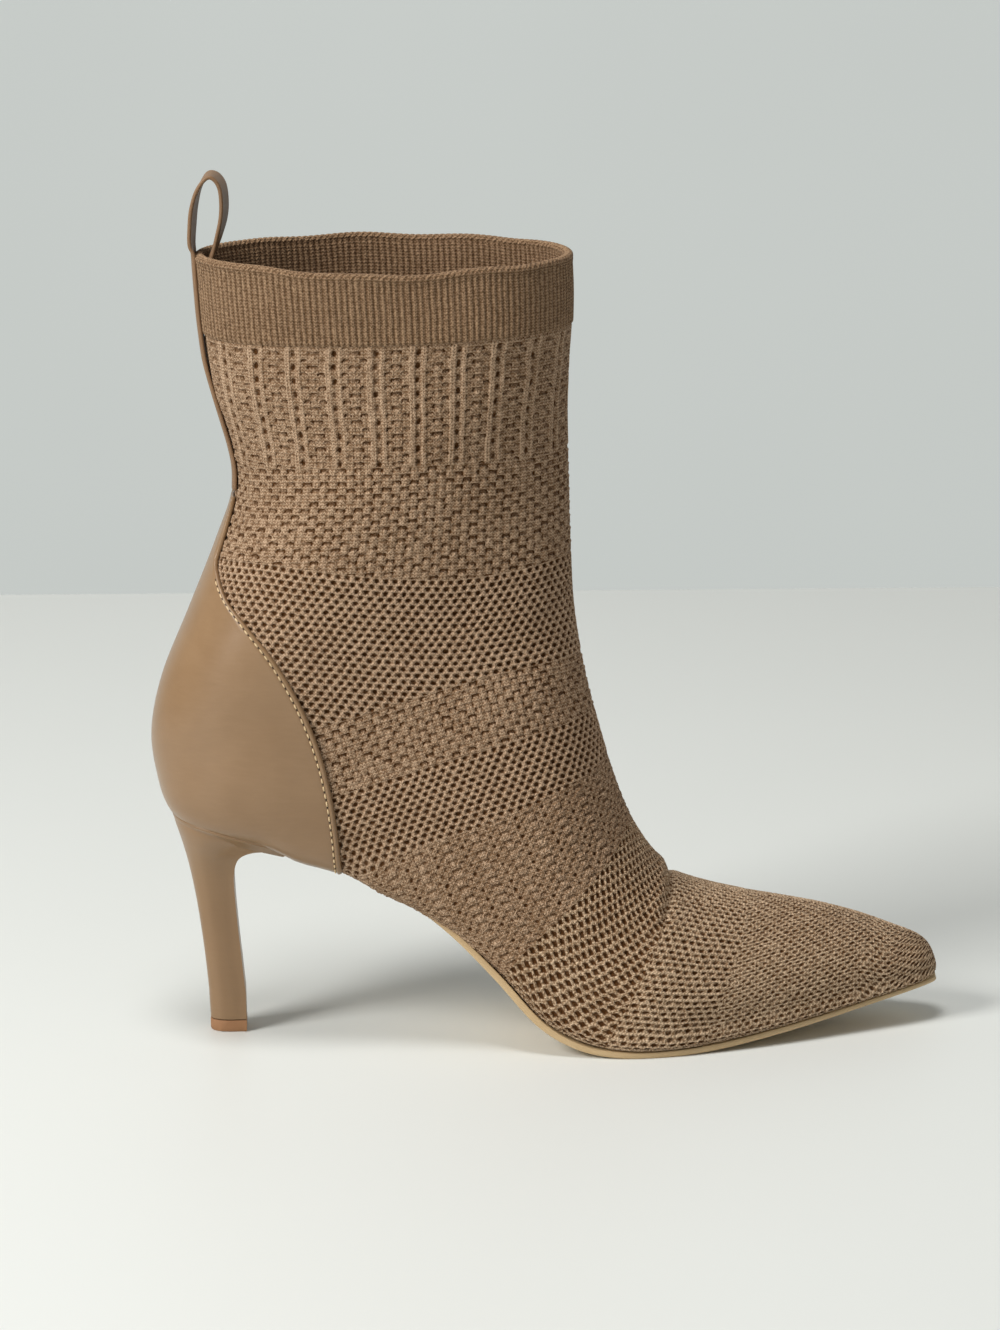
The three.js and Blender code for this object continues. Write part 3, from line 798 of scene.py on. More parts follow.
@dataclass(frozen=True)
class Knitting:
    """One stitch pattern, as holes and raised yarn, on x across the wales and y along them.

    Attributes:
        stitch: which pattern.
        wide: the pattern's repeat across in millimetres.
        tall: its repeat along, or the distance of two rows of holes.
        hole: width of a hole.
        high: height of a hole.
        ribs: how strongly the smooth ribs between the holes stand out, 0 to 1.
        rim: y of the rolled rim, where there is one.
    """

    stitch: Stitch
    wide: float
    tall: float
    hole: float
    high: float
    ribs: float = 1.0
    rim: float | None = None

    def cell(self, x: Wire, y: Wire, wide: float, tall: float) -> tuple[Wire, Wire]:
        """Place inside the cells of a pattern whose rows are staggered by half a cell."""
        row = (y / tall).floor()
        shift = (row * 0.5).fract()
        return ((x / wide + shift).fract() - 0.5) * wide, ((y / tall).fract() - 0.5) * tall

    def arch(self, x: Wire, y: Wire, wide: float, high: float) -> Wire:
        """A dark bar with short legs, open below, over a half dark hollow.

        Args:
            x: place across, 0 in the middle.
            y: place upward, 0 in the middle.
            wide: half the bar's width.
            high: half its height.

        Returns:
            How deep the hole is, 0 to 1.
        """
        a, b = x / wide, y / high
        reach = (a * a * a * a + b * b * b * b).root().root()
        bar = abs(reach - 1.0).ramp(0.42, 0.12) * b.ramp(-0.75, -0.1)
        hollow = reach.ramp(1.0, 0.6) * b.ramp(-0.35, 0.45)
        return bar.most(hollow * 0.7)

    def spot(self, x: Wire, y: Wire, wide: float, high: float) -> Wire:
        """A soft round spot."""
        return ((x / wide) * (x / wide) + (y / high) * (y / high)).root().ramp(1.2, 0.5)

    def columns(self, x: Wire, y: Wire) -> tuple[Wire, Wire]:
        """Columns of holes beside raised ribs, with small arches between the ribs.

        Args:
            x: place across the columns.
            y: place along them.

        Returns:
            The depth of the holes and the height of the yarn.
        """
        u = (x / self.wide).fract() * self.wide
        level = ((y / self.tall).fract() - 0.5) * self.tall
        between = ((y / self.tall + 0.5).fract() - 0.5) * self.tall
        pit = self.spot(u - 0.8, level, self.hole * 0.62, self.high * 0.6)
        left, right = 1.5 + 2.2 * self.ribs, self.wide - 1.9 * self.ribs
        double = u.ramp(1.5, 1.9) * u.ramp(left, left - 0.5)
        groove = abs(u - (1.5 + left) / 2).ramp(0.4, 0.1) * self.ribs
        flat = u.ramp(right, right + 0.5) * u.ramp(self.wide - 0.1, self.wide - 0.6)
        middle, half = (left + right) / 2, (right - left) / 2
        size = half / 3.35
        arches = self.arch(u - middle, level + 0.3, 1.4 * size, 0.8)
        dots = self.spot(u - middle, level + 1.15, 0.65, 0.6)
        dots = dots.most(self.spot(u - middle, level - 0.75, 1.3, 0.5))
        for side in (-1, 1):
            other = u - (middle + side * (half - 0.85))
            arches = arches.most(self.arch(other, between + 0.3, 0.95 * size, 0.65))
            dots = dots.most(self.spot(u - (middle + side * half * 0.45), between, 0.7, 0.7))
        rise = ((double - groove * 0.5 + flat * 0.7) * (0.5 + self.ribs * 0.5)).most(dots)
        return pit.most(arches * (0.65 + 0.2 * self.ribs)), rise

    def rib(self, x: Wire, y: Wire) -> tuple[Wire, Wire]:
        """Fine ribs, which turn to slanting stitches over a rolled rim.

        Args:
            x: place across the ribs.
            y: place along them.

        Returns:
            The depth of the grooves and the height of the yarn.
        """
        rise = (x * (TURN / self.wide)).sin() * 0.5 + 0.5
        pit = rise.ramp(0.55, 0.0) * 0.55
        if self.rim is not None:
            up = y - self.rim
            over = abs(up).ramp(2.9, 2.1)
            slant = ((x / self.wide + up * 0.42) * TURN).sin() * 0.5 + 0.5
            # The rim's raised crest is painted lighter by the yarn's finish, a painted highlight,
            # and its edges darker, painted shade.
            crest = abs(up).ramp(1.3, 0.3)
            rise = rise + (slant * 0.8 + crest * 0.7 - rise) * over
            pit = (pit * (1 - over)).most(abs(abs(up) - 2.7).ramp(0.5, 0.1) * 0.5)
            pit = pit.most(slant.ramp(0.3, 0.0) * over * 0.4)
        return pit, rise

    def fields(self, x: Wire, y: Wire) -> tuple[Wire, Wire]:
        """Holes and raised yarn at a place.

        Args:
            x: millimetres across the wales.
            y: millimetres along the wales.

        Returns:
            How deep the hole is and how far the yarn stands out, both 0 to 1.
        """
        tree = x.tree
        spot = tree.wire("ShaderNodeCombineXYZ", None, {0: x, 1: y, 2: self.wide * 7})
        sway, jolt = tree.noise(spot, 0.16, 1.0) - 0.5, tree.noise(spot, 0.8, 1.0) - 0.5
        lively = tree.noise(spot, 0.42, 1.0).ramp(0.34, 0.6)
        if self.stitch is Stitch.RIB:
            return self.rib(x + sway * 0.5 + jolt * 0.3, y + jolt * 0.3)
        x, y = x + sway * 1.1 + jolt * 0.7, y + sway * 0.7 - jolt * 0.6
        if self.stitch is Stitch.CABLE:
            pit, rise = self.columns(x, y)
            return pit * (lively * 0.45 + 0.55), rise
        if self.stitch is Stitch.ARCH:
            cx, cy = self.cell(x, y, self.wide, self.tall)
            pit = self.arch(cx, cy + 0.15, self.hole / 2, self.high * 0.4)
            dot = self.spot(cx, cy + 0.8, 0.6, 0.5)
            # The brow above each arch is raised, and the yarn's finish paints it lighter: a painted
            # highlight.
            dot = dot.most(self.spot(cx, cy - 0.75, self.hole * 0.45, 0.4) * 0.8)
            side = abs(cx).ramp(self.wide * 0.28, self.wide * 0.4)
            return pit * (lively * 0.7 + 0.3), dot.most(side * 0.45)
        if self.stitch is Stitch.EYELET:
            cx, cy = self.cell(x, y, self.wide, self.tall)
            pit = self.spot(cx * (cy * -0.4 + 1.0), cy, self.hole * 0.64, self.high * 0.64)
            edge = (cx * cx + cy * cy * 1.4).root().ramp(self.wide * 0.24, self.wide * 0.48)
            return pit * (lively * 0.25 + 0.75), edge
        if self.stitch is Stitch.LATTICE:
            cx, cy = self.cell(y + x * 0.3, x, self.wide, self.tall)
            inside = abs(cx) / (self.hole * 0.84) + abs(cy) / (self.high * 0.84)
            strand = inside.ramp(1.1, 2.0)
            return inside.ramp(1.15, 0.55) * (lively * 0.2 + 0.8), strand
        cx, cy = self.cell(y, x, self.tall, self.wide)
        pit = self.spot(cx * (cy * 0.35 + 1.0), cy, self.high * 0.66, self.hole * 0.64)
        ridge = abs(cy).ramp(self.wide * 0.2, self.wide * 0.46)
        return pit * (lively * 0.35 + 0.65), ridge


@dataclass(frozen=True)
class YarnFinish(Finish):
    """The yarn of one stitch pattern, its colours as display values.

    Attributes:
        knitting: the pattern that it is knitted in.
        dark: how strongly painted shade darkens its holes, 0 to 1.
        light: painted highlight on raised yarn and on the loops' crests.
        plain: flat knit.
        deep: painted shade at the bottom of a hole.
        heather: how strongly the yarn's colour varies.
        gloss: roughness of the yarn.
    """

    knitting: Knitting
    dark: float = 1.0
    light: Colour = (207, 177, 148)
    plain: Colour = (128, 98, 70)
    deep: Colour = (86, 53, 22)
    heather: float = 1.0
    gloss: float = 0.8

    def inputs(self, tree: Tree, here: Wire) -> dict[str, Any]:
        """Loops of fuzzy yarn, with painted highlight where it is raised and painted shade in its
        holes.

        Args:
            tree: the material's tree.
            here: the place on the object.

        Returns:
            The shader's inputs.
        """
        x, y, _ = tree.parts(tree.wire("ShaderNodeUVMap", {"uv_map": "stitch"}))
        pit, rise = self.knitting.fields(x, y)
        wobble = tree.noise(here, 700.0, 2.0) - 0.5
        wale = abs(((x + wobble * 0.5) / 1.1).fract() - 0.5)
        loops = ((y + wale * 0.9 + wobble * 0.9) * TURN).sin()
        gutter = wale.ramp(0.34, 0.5)
        fibre = tree.noise(here, 2300.0, 2.0, 0.7) - 0.5
        yarn = tree.noise(here, 950.0, 2.0, 0.6) - 0.5
        patches = tree.noise(here, 60.0, 3.0, 0.55) - 0.5
        # Painted highlight on the loops' crests and painted shade in the gutters between wales,
        # mixed with random fibre tone.
        crest = (loops * 0.5 + 0.5) * (loops * 0.5 + 0.5)
        grain = crest * 1.1 - 0.36 - gutter * 0.5 + fibre * 3.2 + yarn * 3.0 + patches * 0.6
        tone = rise * 0.46 + grain * self.heather * 0.68 + 0.27
        body = tree.mix(tone.ramp(-0.3, 1.3), linear(self.plain), linear(self.light))
        # Painted shade in the holes, darkening towards deep.
        shade = (pit * self.dark + fibre * 0.6 - 0.02).ramp(0.08, 0.9)
        height = rise * 0.45 - pit * 0.9 + crest * 0.65 - gutter * 0.4 + fibre * 1.1
        return {
            "Base Color": tree.mix(shade, body, linear(self.deep)),
            "Roughness": pit * 0.1 + self.gloss,
            "Specular IOR Level": 0.15,
            "Sheen Weight": 0.1,
            "Sheen Roughness": 0.45,
            "Sheen Tint": (1.0, 0.82, 0.64, 1.0),
            "Normal": tree.bump(height, 0.75, 0.5 * MM),
        }


class Relief(Group):
    """Geometry group that presses a stitch pattern into a net along its normals."""

    def __init__(self, knitting: Knitting, material: bpy.types.Material) -> None:
        """Builds the group.

        Args:
            knitting: the stitch pattern.
            material: the finish that the group sets.
        """
        name = f"relief_{knitting.stitch.value}"
        super().__init__(name, "Net", ("Hole depth", "Rib height"), "Knit")
        tree = self.tree
        net, depth, height = self.inputs
        x, y, fade = tree.parts(self.kept("stitch_at"))
        pit, rise = knitting.fields(x, y)
        amount = (rise * height - pit * depth) * fade
        values = {0: tree.wire("GeometryNodeInputNormal"), "Scale": amount}
        push = tree.wire("ShaderNodeVectorMath", {"operation": "SCALE"}, values)
        moved = tree.wire("GeometryNodeSetPosition", None, {"Geometry": net, "Offset": push})
        bare = tree.wire("GeometryNodeRemoveAttribute", None, {0: moved, "Name": "stitch_at"})
        self.close(tree.wire("GeometryNodeRealizeInstances", None, {0: bare}), material)

    def press(self, piece: bpy.types.Object, depth: float, height: float) -> None:
        """Gives a piece its relief.

        Args:
            piece: a net with its stitch places.
            depth: depth of the holes in millimetres.
            height: height of the raised yarn in millimetres.
        """
        self.run(piece, {"Hole depth": depth * MM, "Rib height": height * MM})


class Anchor(Enum):
    """Where a band's wales are counted from."""

    RIDGE = "ridge"
    EVEN = "even"
    SOLE = "sole"


@dataclass(frozen=True)
class Band:
    """One band of the knitted upper between two fan lines of the last.

    Attributes:
        name: the piece's name.
        knitting: its stitch pattern.
        low: the last's rows along the lower edge at the sole, the middle and the ridge.
        high: the rows along the upper edge.
        anchor: where its wales are counted from.
        slack: how far its wales keep their own pitch instead of spreading with the leg, 0 to 1.
        depth: depth of its holes in millimetres.
        height: height of its raised yarn in millimetres.
        step: size of its grid's faces in millimetres.
    """

    name: str
    knitting: Knitting
    low: tuple[float, float, float]
    high: tuple[float, float, float]
    anchor: Anchor = Anchor.RIDGE
    slack: float = 0.3
    depth: float = 0.7
    height: float = 0.24
    step: float = 0.48

    def net(self, last: Last) -> Net:
        """Lays the band's grid on the last.

        Args:
            last: the last.

        Returns:
            The grid, its columns from the sole line round the far side and back.
        """
        levels = np.linspace(0, 1, 33)
        w, s, total = self.columns(last, levels)
        down = last.point(*self.place(last, w, levels[:, None]))
        step = np.linalg.norm(np.diff(down, axis=0), axis=2)
        climb = np.concatenate([np.zeros((1, w.shape[1])), np.cumsum(step, 0)])
        tall = climb[-1]
        rows = round(float(np.percentile(tall, 70)) / self.step)
        level = np.linspace(0, 1, rows + 1)
        v = np.stack([np.interp(level * c[-1], c, levels) for c in climb.T], 1)
        w, s = (
            np.stack([np.interp(at, levels, column) for at, column in zip(v.T, part.T)], 1)
            for part in (w, s)
        )
        place, angle = self.place(last, w, v)
        grid = settled(self.rolled(last, place, angle))
        around = np.interp(v, levels, total)
        y = (level[:, None] - 1) * tall[None, :]
        x = s / (self.slack + (1 - self.slack) * around / around.mean())
        if self.anchor is Anchor.EVEN:
            x = s / around * total.mean()
            y = (level[:, None] - 1) * np.median(tall) * np.ones_like(x)
        if self.anchor is Anchor.SOLE:
            x = around / 2 - np.abs(s)
            y = -(grid[..., 0] * 0.97 + np.abs(grid[..., 1]) * 0.1)
        fade = smooth(np.minimum(level, 1 - level)[:, None] * tall[None, :], 0.0, 0.8)
        to_edge = np.where(last.slit(place) > 0.02, around / 2 - np.abs(s), 9.0)
        made = Net(grid, np.stack([x, y], -1), fade * smooth(to_edge, 1.0, 3.0))
        return made.nosed() if self.low[0] == 0 else made

    def columns(self, last: Last, levels: Array) -> tuple[Array, Array, Array]:
        """Where the grid's columns run, level by level up the band.

        Args:
            last: the last.
            levels: shares of the way up the band.

        Returns:
            Each column's share round the section and its length from the ridge, and the
            lengths round the sections.
        """
        count = 600
        w = np.linspace(0, 1, 2 * count + 1)
        points = last.point(*self.place(last, w[None, :], levels[:, None]))
        step = np.linalg.norm(np.diff(points, axis=1), axis=2)
        run = np.concatenate([np.zeros((len(levels), 1)), np.cumsum(step, 1)], 1)
        ridge = run[:, count:count + 1]
        far, near = -ridge, run[:, -1:] - ridge
        if self.anchor is not Anchor.RIDGE:
            spaces = round(float(run[:, -1].mean()) / self.step)
            s = far + (near - far) * np.linspace(0, 1, spaces + 1)
        else:
            half = (near - far) / 2
            pitch = self.step * (self.slack + (1 - self.slack) * half / half.mean())
            core = int(((np.minimum(near, -far) - 6.0) / pitch).min())
            edge = round(float(((np.maximum(near, -far) - core * pitch) / pitch).max()) * 0.85)
            spread = np.linspace(0, 1, edge + 1)[1:]
            middle = np.arange(-core, core + 1) * pitch
            left = middle[:, :1] + (far - middle[:, :1]) * spread[::-1]
            right = middle[:, -1:] + (near - middle[:, -1:]) * spread
            s = np.concatenate([left, middle, right], 1)
        at = np.stack([np.interp(s[i] + ridge[i], run[i], w) for i in range(len(levels))])
        return at, s, run[:, -1]

    def place(self, last: Last, w: Array, v: Array) -> tuple[Array, Array]:
        """Rows and angles of the last at shares round the section and up the band.

        Args:
            last: the last.
            w: shares round the section, from one edge of the sole's opening to the other.
            v: shares from the lower edge to the upper edge.

        Returns:
            Row numbers and angles.
        """
        w, v = np.broadcast_arrays(w, v)
        row = self.rows_at(0.5 - 0.5 * np.cos(TURN * w), v)
        angle = row
        for _ in range(7):
            slit = last.slit(row)
            angle, share = last.turned(row, BACK + slit + (TURN - 2 * slit) * w)
            row = row * 0.25 + self.rows_at(share, v) * 0.75
        return row, angle

    def rows_at(self, share: Array, v: Array) -> Array:
        """Row numbers between the band's two edges at shares of the way to the ridge.

        Args:
            share: 0 at the opening's edge to 1 on the ridge.
            v: 0 on the low edge to 1 on the high one.

        Returns:
            The row numbers.
        """
        rest = 1 - share
        edges = [
            a * rest * (1 - 2 * share) + 4 * b * share * rest + c * share * (2 * share - 1)
            for a, b, c in (self.low, self.high)
        ]
        return np.clip(edges[0] + (edges[1] - edges[0]) * v, 0, Last.top_row)

    def rolled(self, last: Last, place: Array, angle: Array) -> Array:
        """Points on the last, where the knit bulges out and down over the edge of the sole.

        Args:
            last: the last.
            place: row numbers.
            angle: angles round the section.

        Returns:
            Points in millimetres.
        """
        s = last.row_at(place)
        power = s[..., Part.SOLE_POWER]
        points = last.point(place, angle)
        low = np.sin(angle) < 0
        up = np.where(low, np.abs(np.sin(angle)) ** (2 / power), 0.0)
        out = np.abs(np.cos(angle)) ** (2 / power)
        full = power * (1 + 1.4 * (1 - smooth(place, 11, 13.5)))
        filled = np.where(low, (1 - up ** full) ** (1 / full), out) - out
        filled *= 1 - smooth(up, 0.955, 0.978)
        start = 0.5 - 0.25 * smooth(place, 11, 14)
        bulge = smooth(up, 0.4, 0.9) * smooth(out, start, start * 1.8) * smooth(place, 0.2, 2)
        bulge *= 1 - smooth(place, 15.3, 16.5)
        side = np.sign(np.cos(angle))
        points[..., 1] += side * (0.4 * bulge + last.half_ball * s[..., Part.HALF] * filled)
        points[..., 2] -= (1.0 + 1.1 * smooth(place, 11, 14)) * bulge
        return lapped(last, points)


class KnitUpper:
    """The knitted upper: openwork bands, a ribbed cuff that turns in, and the wall inside."""

    wall = 2.0
    bands = (
        Band("knit_leg_columns", Knitting(Stitch.CABLE, 12.3, 4.3, 1.3, 2.0),
             (26.6, 25.6, 23.6), (29, 29, 29), depth=0.75, height=0.36),
        Band("knit_leg_arches", Knitting(Stitch.ARCH, 5.6, 2.05, 2.3, 2.05),
             (24.8, 23.3, 19.7), (26.6, 25.6, 23.6), depth=0.55, height=0.34),
        Band("knit_ankle_eyelets", Knitting(Stitch.EYELET, 3.0, 1.95, 1.38, 1.2),
             (22.2, 19.3, 16.7), (24.8, 23.3, 19.7), slack=0.6),
        Band("knit_instep_arches", Knitting(Stitch.ARCH, 5.2, 1.95, 2.1, 1.95),
             (18.6, 16.9, 15.4), (22.2, 19.3, 16.7), slack=1.0, depth=0.5, height=0.32),
        Band("knit_instep_eyelets", Knitting(Stitch.EYELET, 3.05, 1.8, 1.4, 1.2),
             (16.0, 15.1, 14.3), (18.6, 16.9, 15.4), slack=1.0, depth=0.65),
        Band("knit_arch_columns", Knitting(Stitch.CABLE, 9.2, 3.0, 1.1, 1.2, 0.35),
             (13.05, 12.9, 12.75), (16.0, 15.1, 14.3), slack=1.0, depth=0.6, height=0.36),
        Band("knit_waist_lattice", Knitting(Stitch.LATTICE, 3.1, 2.0, 1.8, 1.3),
             (10.55, 10.3, 10.03), (13.05, 12.9, 12.75), Anchor.EVEN, depth=0.75, height=0.15),
        Band("knit_vamp_rows", Knitting(Stitch.LADDER, 2.0, 2.75, 1.15, 1.5),
             (8.3, 7.6, 6.9), (10.55, 10.3, 10.03), Anchor.EVEN, depth=0.6, height=0.2),
        Band("knit_toe", Knitting(Stitch.FINE, 1.4, 2.5, 0.95, 1.3),
             (0, 0, 0), (8.3, 7.6, 6.9), Anchor.SOLE, depth=0.4, height=0.15),
    )
    rib = Knitting(Stitch.RIB, 1.85, 0.9, 0.6, 0.9)
    collar = 292.0
    cuff_step = 0.6
    rim_round = 0.7
    rib_columns = 4
    cuff_pitch = 0.55
    inside_girth = 190.8
    hole_shades = {Stitch.FINE: 0.86, Stitch.LADDER: 0.92}
    pale_stitches = (Stitch.FINE, Stitch.LADDER, Stitch.LATTICE)
    seam_weld = 2e-5

    def build(self, last: Last) -> None:
        """Knits the bands, the cuff and the wall inside.

        Args:
            last: the last.
        """
        for band in self.bands:
            stitch = band.knitting.stitch
            yarn = YarnFinish(band.knitting, self.hole_shades.get(stitch, 1.0))
            if stitch in self.pale_stitches:
                yarn = replace(yarn, light=(232, 204, 172), plain=(140, 110, 80))
            piece = band.net(last).mesh(band.name, flip=True)
            self.knit(piece, yarn, band.depth, band.height)
        self.cuff(last)
        self.lining(last)

    def knit(self, piece: bpy.types.Object, yarn: YarnFinish, depth: float, height: float) -> None:
        """Gives a net its relief and its yarn, and closes the seam where its edges meet.

        Args:
            piece: the net.
            yarn: its finish.
            depth: depth of the holes in millimetres.
            height: height of the raised yarn in millimetres.
        """
        Relief(yarn.knitting, yarn.material(f"{piece.name}_yarn")).press(piece, depth, height)
        weld(piece, self.seam_weld, sheet=True)
        seat(piece, "knit_upper")

    def ring(self, last: Last, columns: int, row: float, offset: float, lift: float) -> Array:
        """A level ring round the leg with even spacing.

        Args:
            last: the last.
            columns: how many spaces the ring has.
            row: the row number.
            offset: distance off the last in millimetres.
            lift: height added in millimetres.

        Returns:
            The ring's points, the first one repeated at the end.
        """
        w = np.linspace(0, 1, 1441)
        run = lengths(last.point(row, TURN * w + BACK))
        angle = BACK + TURN * np.interp(np.linspace(0, run[-1], columns + 1), run, w)
        made = last.off(row, angle, offset)
        made[:, 2] += lift
        return made

    def cuff(self, last: Last) -> None:
        """The ribbed cuff from its lower edge, over the rolled rim and down inside.

        Args:
            last: the last.
        """
        step, rim, foot, top = self.cuff_step, self.rim_round, last.cuff_row, last.top_row
        stations = [(foot - 0.03, -0.4, 0.0), (foot, 0.25, 0.0), (foot + 0.06, step, 0.0)]
        stations += [(row, step, 0.0) for row in np.linspace(foot + 0.15, top - 0.35, 12)]
        stations += [(top - 0.2, step + 0.2, 0.0), (top, step + 0.35, -2.2 * rim)]
        middle, half = (step + 0.3 - self.wall) / 2, (step + 0.3 + self.wall) / 2
        stations += [(top, middle + half * math.cos(a), -rim + 1.15 * rim * math.sin(a))
                     for a in np.linspace(0, math.pi, 9)]
        stations += [(top, -self.wall, -2.5)]
        stations += [(row, -self.wall, 0.0) for row in np.linspace(top - 0.35, foot - 1.4, 14)]
        columns = round(self.collar / self.rib.wide) * self.rib_columns
        rings = np.stack([self.ring(last, columns, *station) for station in stations])
        side = columns // 4
        run = lengths(rings[:, side])
        at = np.linspace(0, run[-1], round(run[-1] / self.cuff_pitch) + 1)
        grid = np.stack([at_lengths(at, run, rings[:, i]) for i in range(columns + 1)], 1)
        x = np.arange(columns + 1)[None, :] / self.rib_columns * self.rib.wide
        x, y = np.broadcast_arrays(x, at[:, None])
        fade = smooth(y, 0.3, 1.6)
        piece = Net(settled(grid), np.stack([x, y], -1), fade).mesh("knit_cuff", flip=True)
        rolled = replace(self.rib, rim=float(at[np.argmax(grid[:, side, 2])]))
        yarn = YarnFinish(rolled, 0.75, light=(170, 140, 110), plain=(107, 81, 57), heather=1.15)
        self.knit(piece, yarn, 0.22, 0.2)

    def lining(self, last: Last) -> None:
        """The wall's inner side from below the cuff to the toe, with the edge under the foot.

        Args:
            last: the last.
        """
        foot, leg = np.linspace(2.3, 19, 90), np.linspace(19.15, last.cuff_row - 1.35, 70)
        rows = np.concatenate([foot, leg])
        w = np.linspace(0, 1, 145)
        slit = last.slit(rows)[:, None]
        turn = BACK + slit + (TURN - 2 * slit) * w[None, :]
        place = np.broadcast_to(rows[:, None], turn.shape)
        angle = last.turned(place, turn)[0]
        offset = np.full(turn.shape, -self.wall)
        open_row = slit[:, 0] > 0.02
        offset[open_row, 0] = offset[open_row, -1] = -0.05
        grid = settled(last.off(place, angle, offset))
        nose = grid[0].mean(0)
        grid = np.concatenate([np.broadcast_to(nose, (1, *grid.shape[1:])), grid])
        x = np.broadcast_to(w[None, :] * self.inside_girth, grid.shape[:2])
        piece = Net(grid, np.stack([x, grid[..., 2]], -1)).mesh("knit_inside")
        # The wall inside takes darker copies of the yarn's colours: painted shade inside the leg.
        yarn = YarnFinish(self.rib, 0.5, (128, 103, 80), (98, 76, 57), (45, 30, 20))
        seat(piece, "knit_upper", yarn.material("inside_yarn_painted_shade"))
        weld(piece, self.seam_weld, sheet=True)


# Leather.


@dataclass(frozen=True)
class LeatherFinish(Finish):
    """A satin leather.

    Attributes:
        base: its colour as display values.
        worn: its colour where it is rubbed or lit.
        gloss: roughness.
        coat: weight of the thin finish on it.
        grain: height of the grain in millimetres.
        rear: colour that it turns to towards the heel, where it does.
    """

    base: Colour
    worn: Colour
    gloss: float = 0.4
    coat: float = 0.15
    grain: float = 0.06
    rear: Colour | None = None

    def inputs(self, tree: Tree, here: Wire) -> dict[str, Any]:
        """Fine grain over broad shades and faint creases.

        Args:
            tree: the material's tree.
            here: the place on the object.

        Returns:
            The shader's inputs.
        """
        cell = {"Vector": here, "Scale": 1100.0}
        cells = tree.wire("ShaderNodeTexVoronoi", {"feature": "SMOOTH_F1"}, cell)
        fine = tree.noise(here, 1800.0, 4.0, 0.6)
        broad = tree.noise(here, 38.0, 3.0, 0.55)
        flattened = {"Vector": here, "Scale": (150.0, 150.0, 620.0)}
        creases = tree.wire("ShaderNodeMapping", None, flattened)
        streak = tree.noise(creases, 1.0, 4.0, 0.65)
        tone = (broad * 0.8 + streak * 0.35 - 0.15).ramp(0.15, 0.85)
        colour = tree.mix(tone * 0.6, linear(self.base), linear(self.worn))
        if self.rear is not None:
            behind = (tree.parts(here)[0] + broad * 0.006).ramp(0.078, 0.052)
            colour = tree.mix(behind, colour, linear(self.rear))
        height = cells * 0.6 + fine * 0.5 + broad * 2.0 + streak * 1.3
        return {
            "Base Color": colour,
            "Roughness": fine * 0.1 + streak * 0.16 + (self.gloss - 0.13),
            "Specular IOR Level": 0.42,
            "Coat Weight": self.coat,
            "Coat Roughness": 0.24,
            "Normal": tree.bump(height, 0.4, self.grain * MM),
        }


@dataclass(frozen=True)
class ThreadFinish(Finish):
    """A twisted thread between two display colours.

    Attributes:
        dark: its darker colour.
        light: its lighter colour.
    """

    dark: Colour
    light: Colour

    def inputs(self, tree: Tree, here: Wire) -> dict[str, Any]:
        """The shader's inputs."""
        twist = tree.noise(here, 3000.0, 2.0)
        colour = tree.mix(twist, linear(self.dark), linear(self.light))
        return {"Base Color": colour, "Roughness": 0.6, "Normal": tree.bump(twist, 0.5, 0.1 * MM)}


@dataclass(frozen=True)
class PaintFinish(Finish):
    """A faintly mottled matt paint, which may glow with painted light of its own.

    Attributes:
        colour: its display colour.
        rough: its roughness.
        glow: strength of its painted light, which stands in for the lamps' light on it.
    """

    colour: Colour
    rough: float
    glow: float = 0.0

    def inputs(self, tree: Tree, here: Wire) -> dict[str, Any]:
        """The shader's inputs.

        Args:
            tree: the material's tree.
            here: the place on the piece.

        Returns:
            Values by input name.
        """
        red, green, blue = (int(part * 0.985) for part in self.colour)
        cloud = tree.noise(here, 3.0, 3.0)
        shade = tree.mix(cloud, linear((red, green, blue)), linear(self.colour))
        return {
            "Base Color": shade, "Roughness": self.rough,
            "Emission Color": shade, "Emission Strength": self.glow,
        }


# Leather.


class StitchRow(Group):
    """A row of sewn stitches: small capsules along a line, each lying in its own direction."""

    def __init__(self, thread: bpy.types.Material) -> None:
        """Builds the geometry group.

        Args:
            thread: the thread's finish.
        """
        super().__init__("stitch_row", "Places", ("Length", "Thickness"), "Stitches")
        tree = self.tree
        places, length, thick = self.inputs
        ball = {"Segments": 8, "Rings": 6, "Radius": 0.5}
        bead = tree.wire("GeometryNodeMeshUVSphere", None, ball)
        size = tree.wire("ShaderNodeCombineXYZ", None, {0: length, 1: thick, 2: thick})
        turn = "FunctionNodeAlignRotationToVector"
        turned = tree.wire(turn, {"axis": "X"}, {"Vector": self.kept("along")})
        values = {"Rotation": turned, "Vector": self.kept("up")}
        rolled = tree.wire(turn, {"axis": "Z", "pivot_axis": "X"}, values)
        values = {"Points": places, "Instance": bead, "Rotation": rolled, "Scale": size}
        laid = tree.wire("GeometryNodeInstanceOnPoints", None, values)
        real = tree.wire("GeometryNodeRealizeInstances", None, {0: laid})
        self.close(tree.wire("GeometryNodeSetShadeSmooth", None, {0: real}), thread)

    def sew(
        self, name: str, line: Array, ups: Array, pitch: float, length: float, thick: float,
        shift: float = 0.0,
    ) -> bpy.types.Object:
        """Sews along a line.

        Args:
            name: the piece's name.
            line: the seam's points in millimetres.
            ups: the outward direction at each point.
            pitch: distance from stitch to stitch in millimetres.
            length: length of a stitch.
            thick: thickness of the thread.
            shift: how far the row is moved on, as a share of the pitch.

        Returns:
            The stitches as one object.
        """
        run = lengths(line)
        at = (np.arange(int(run[-1] / pitch - shift)) + 0.5 + shift) * pitch
        spots, ahead = at_lengths(at, run, line), at_lengths(at + 0.4, run, line)
        made = solid_mesh(name, spots, [])
        keep_vectors(made, "along", ahead - spots)
        keep_vectors(made, "up", at_lengths(at, run, ups))
        self.run(made, {"Length": length * MM, "Thickness": thick * MM})
        return made


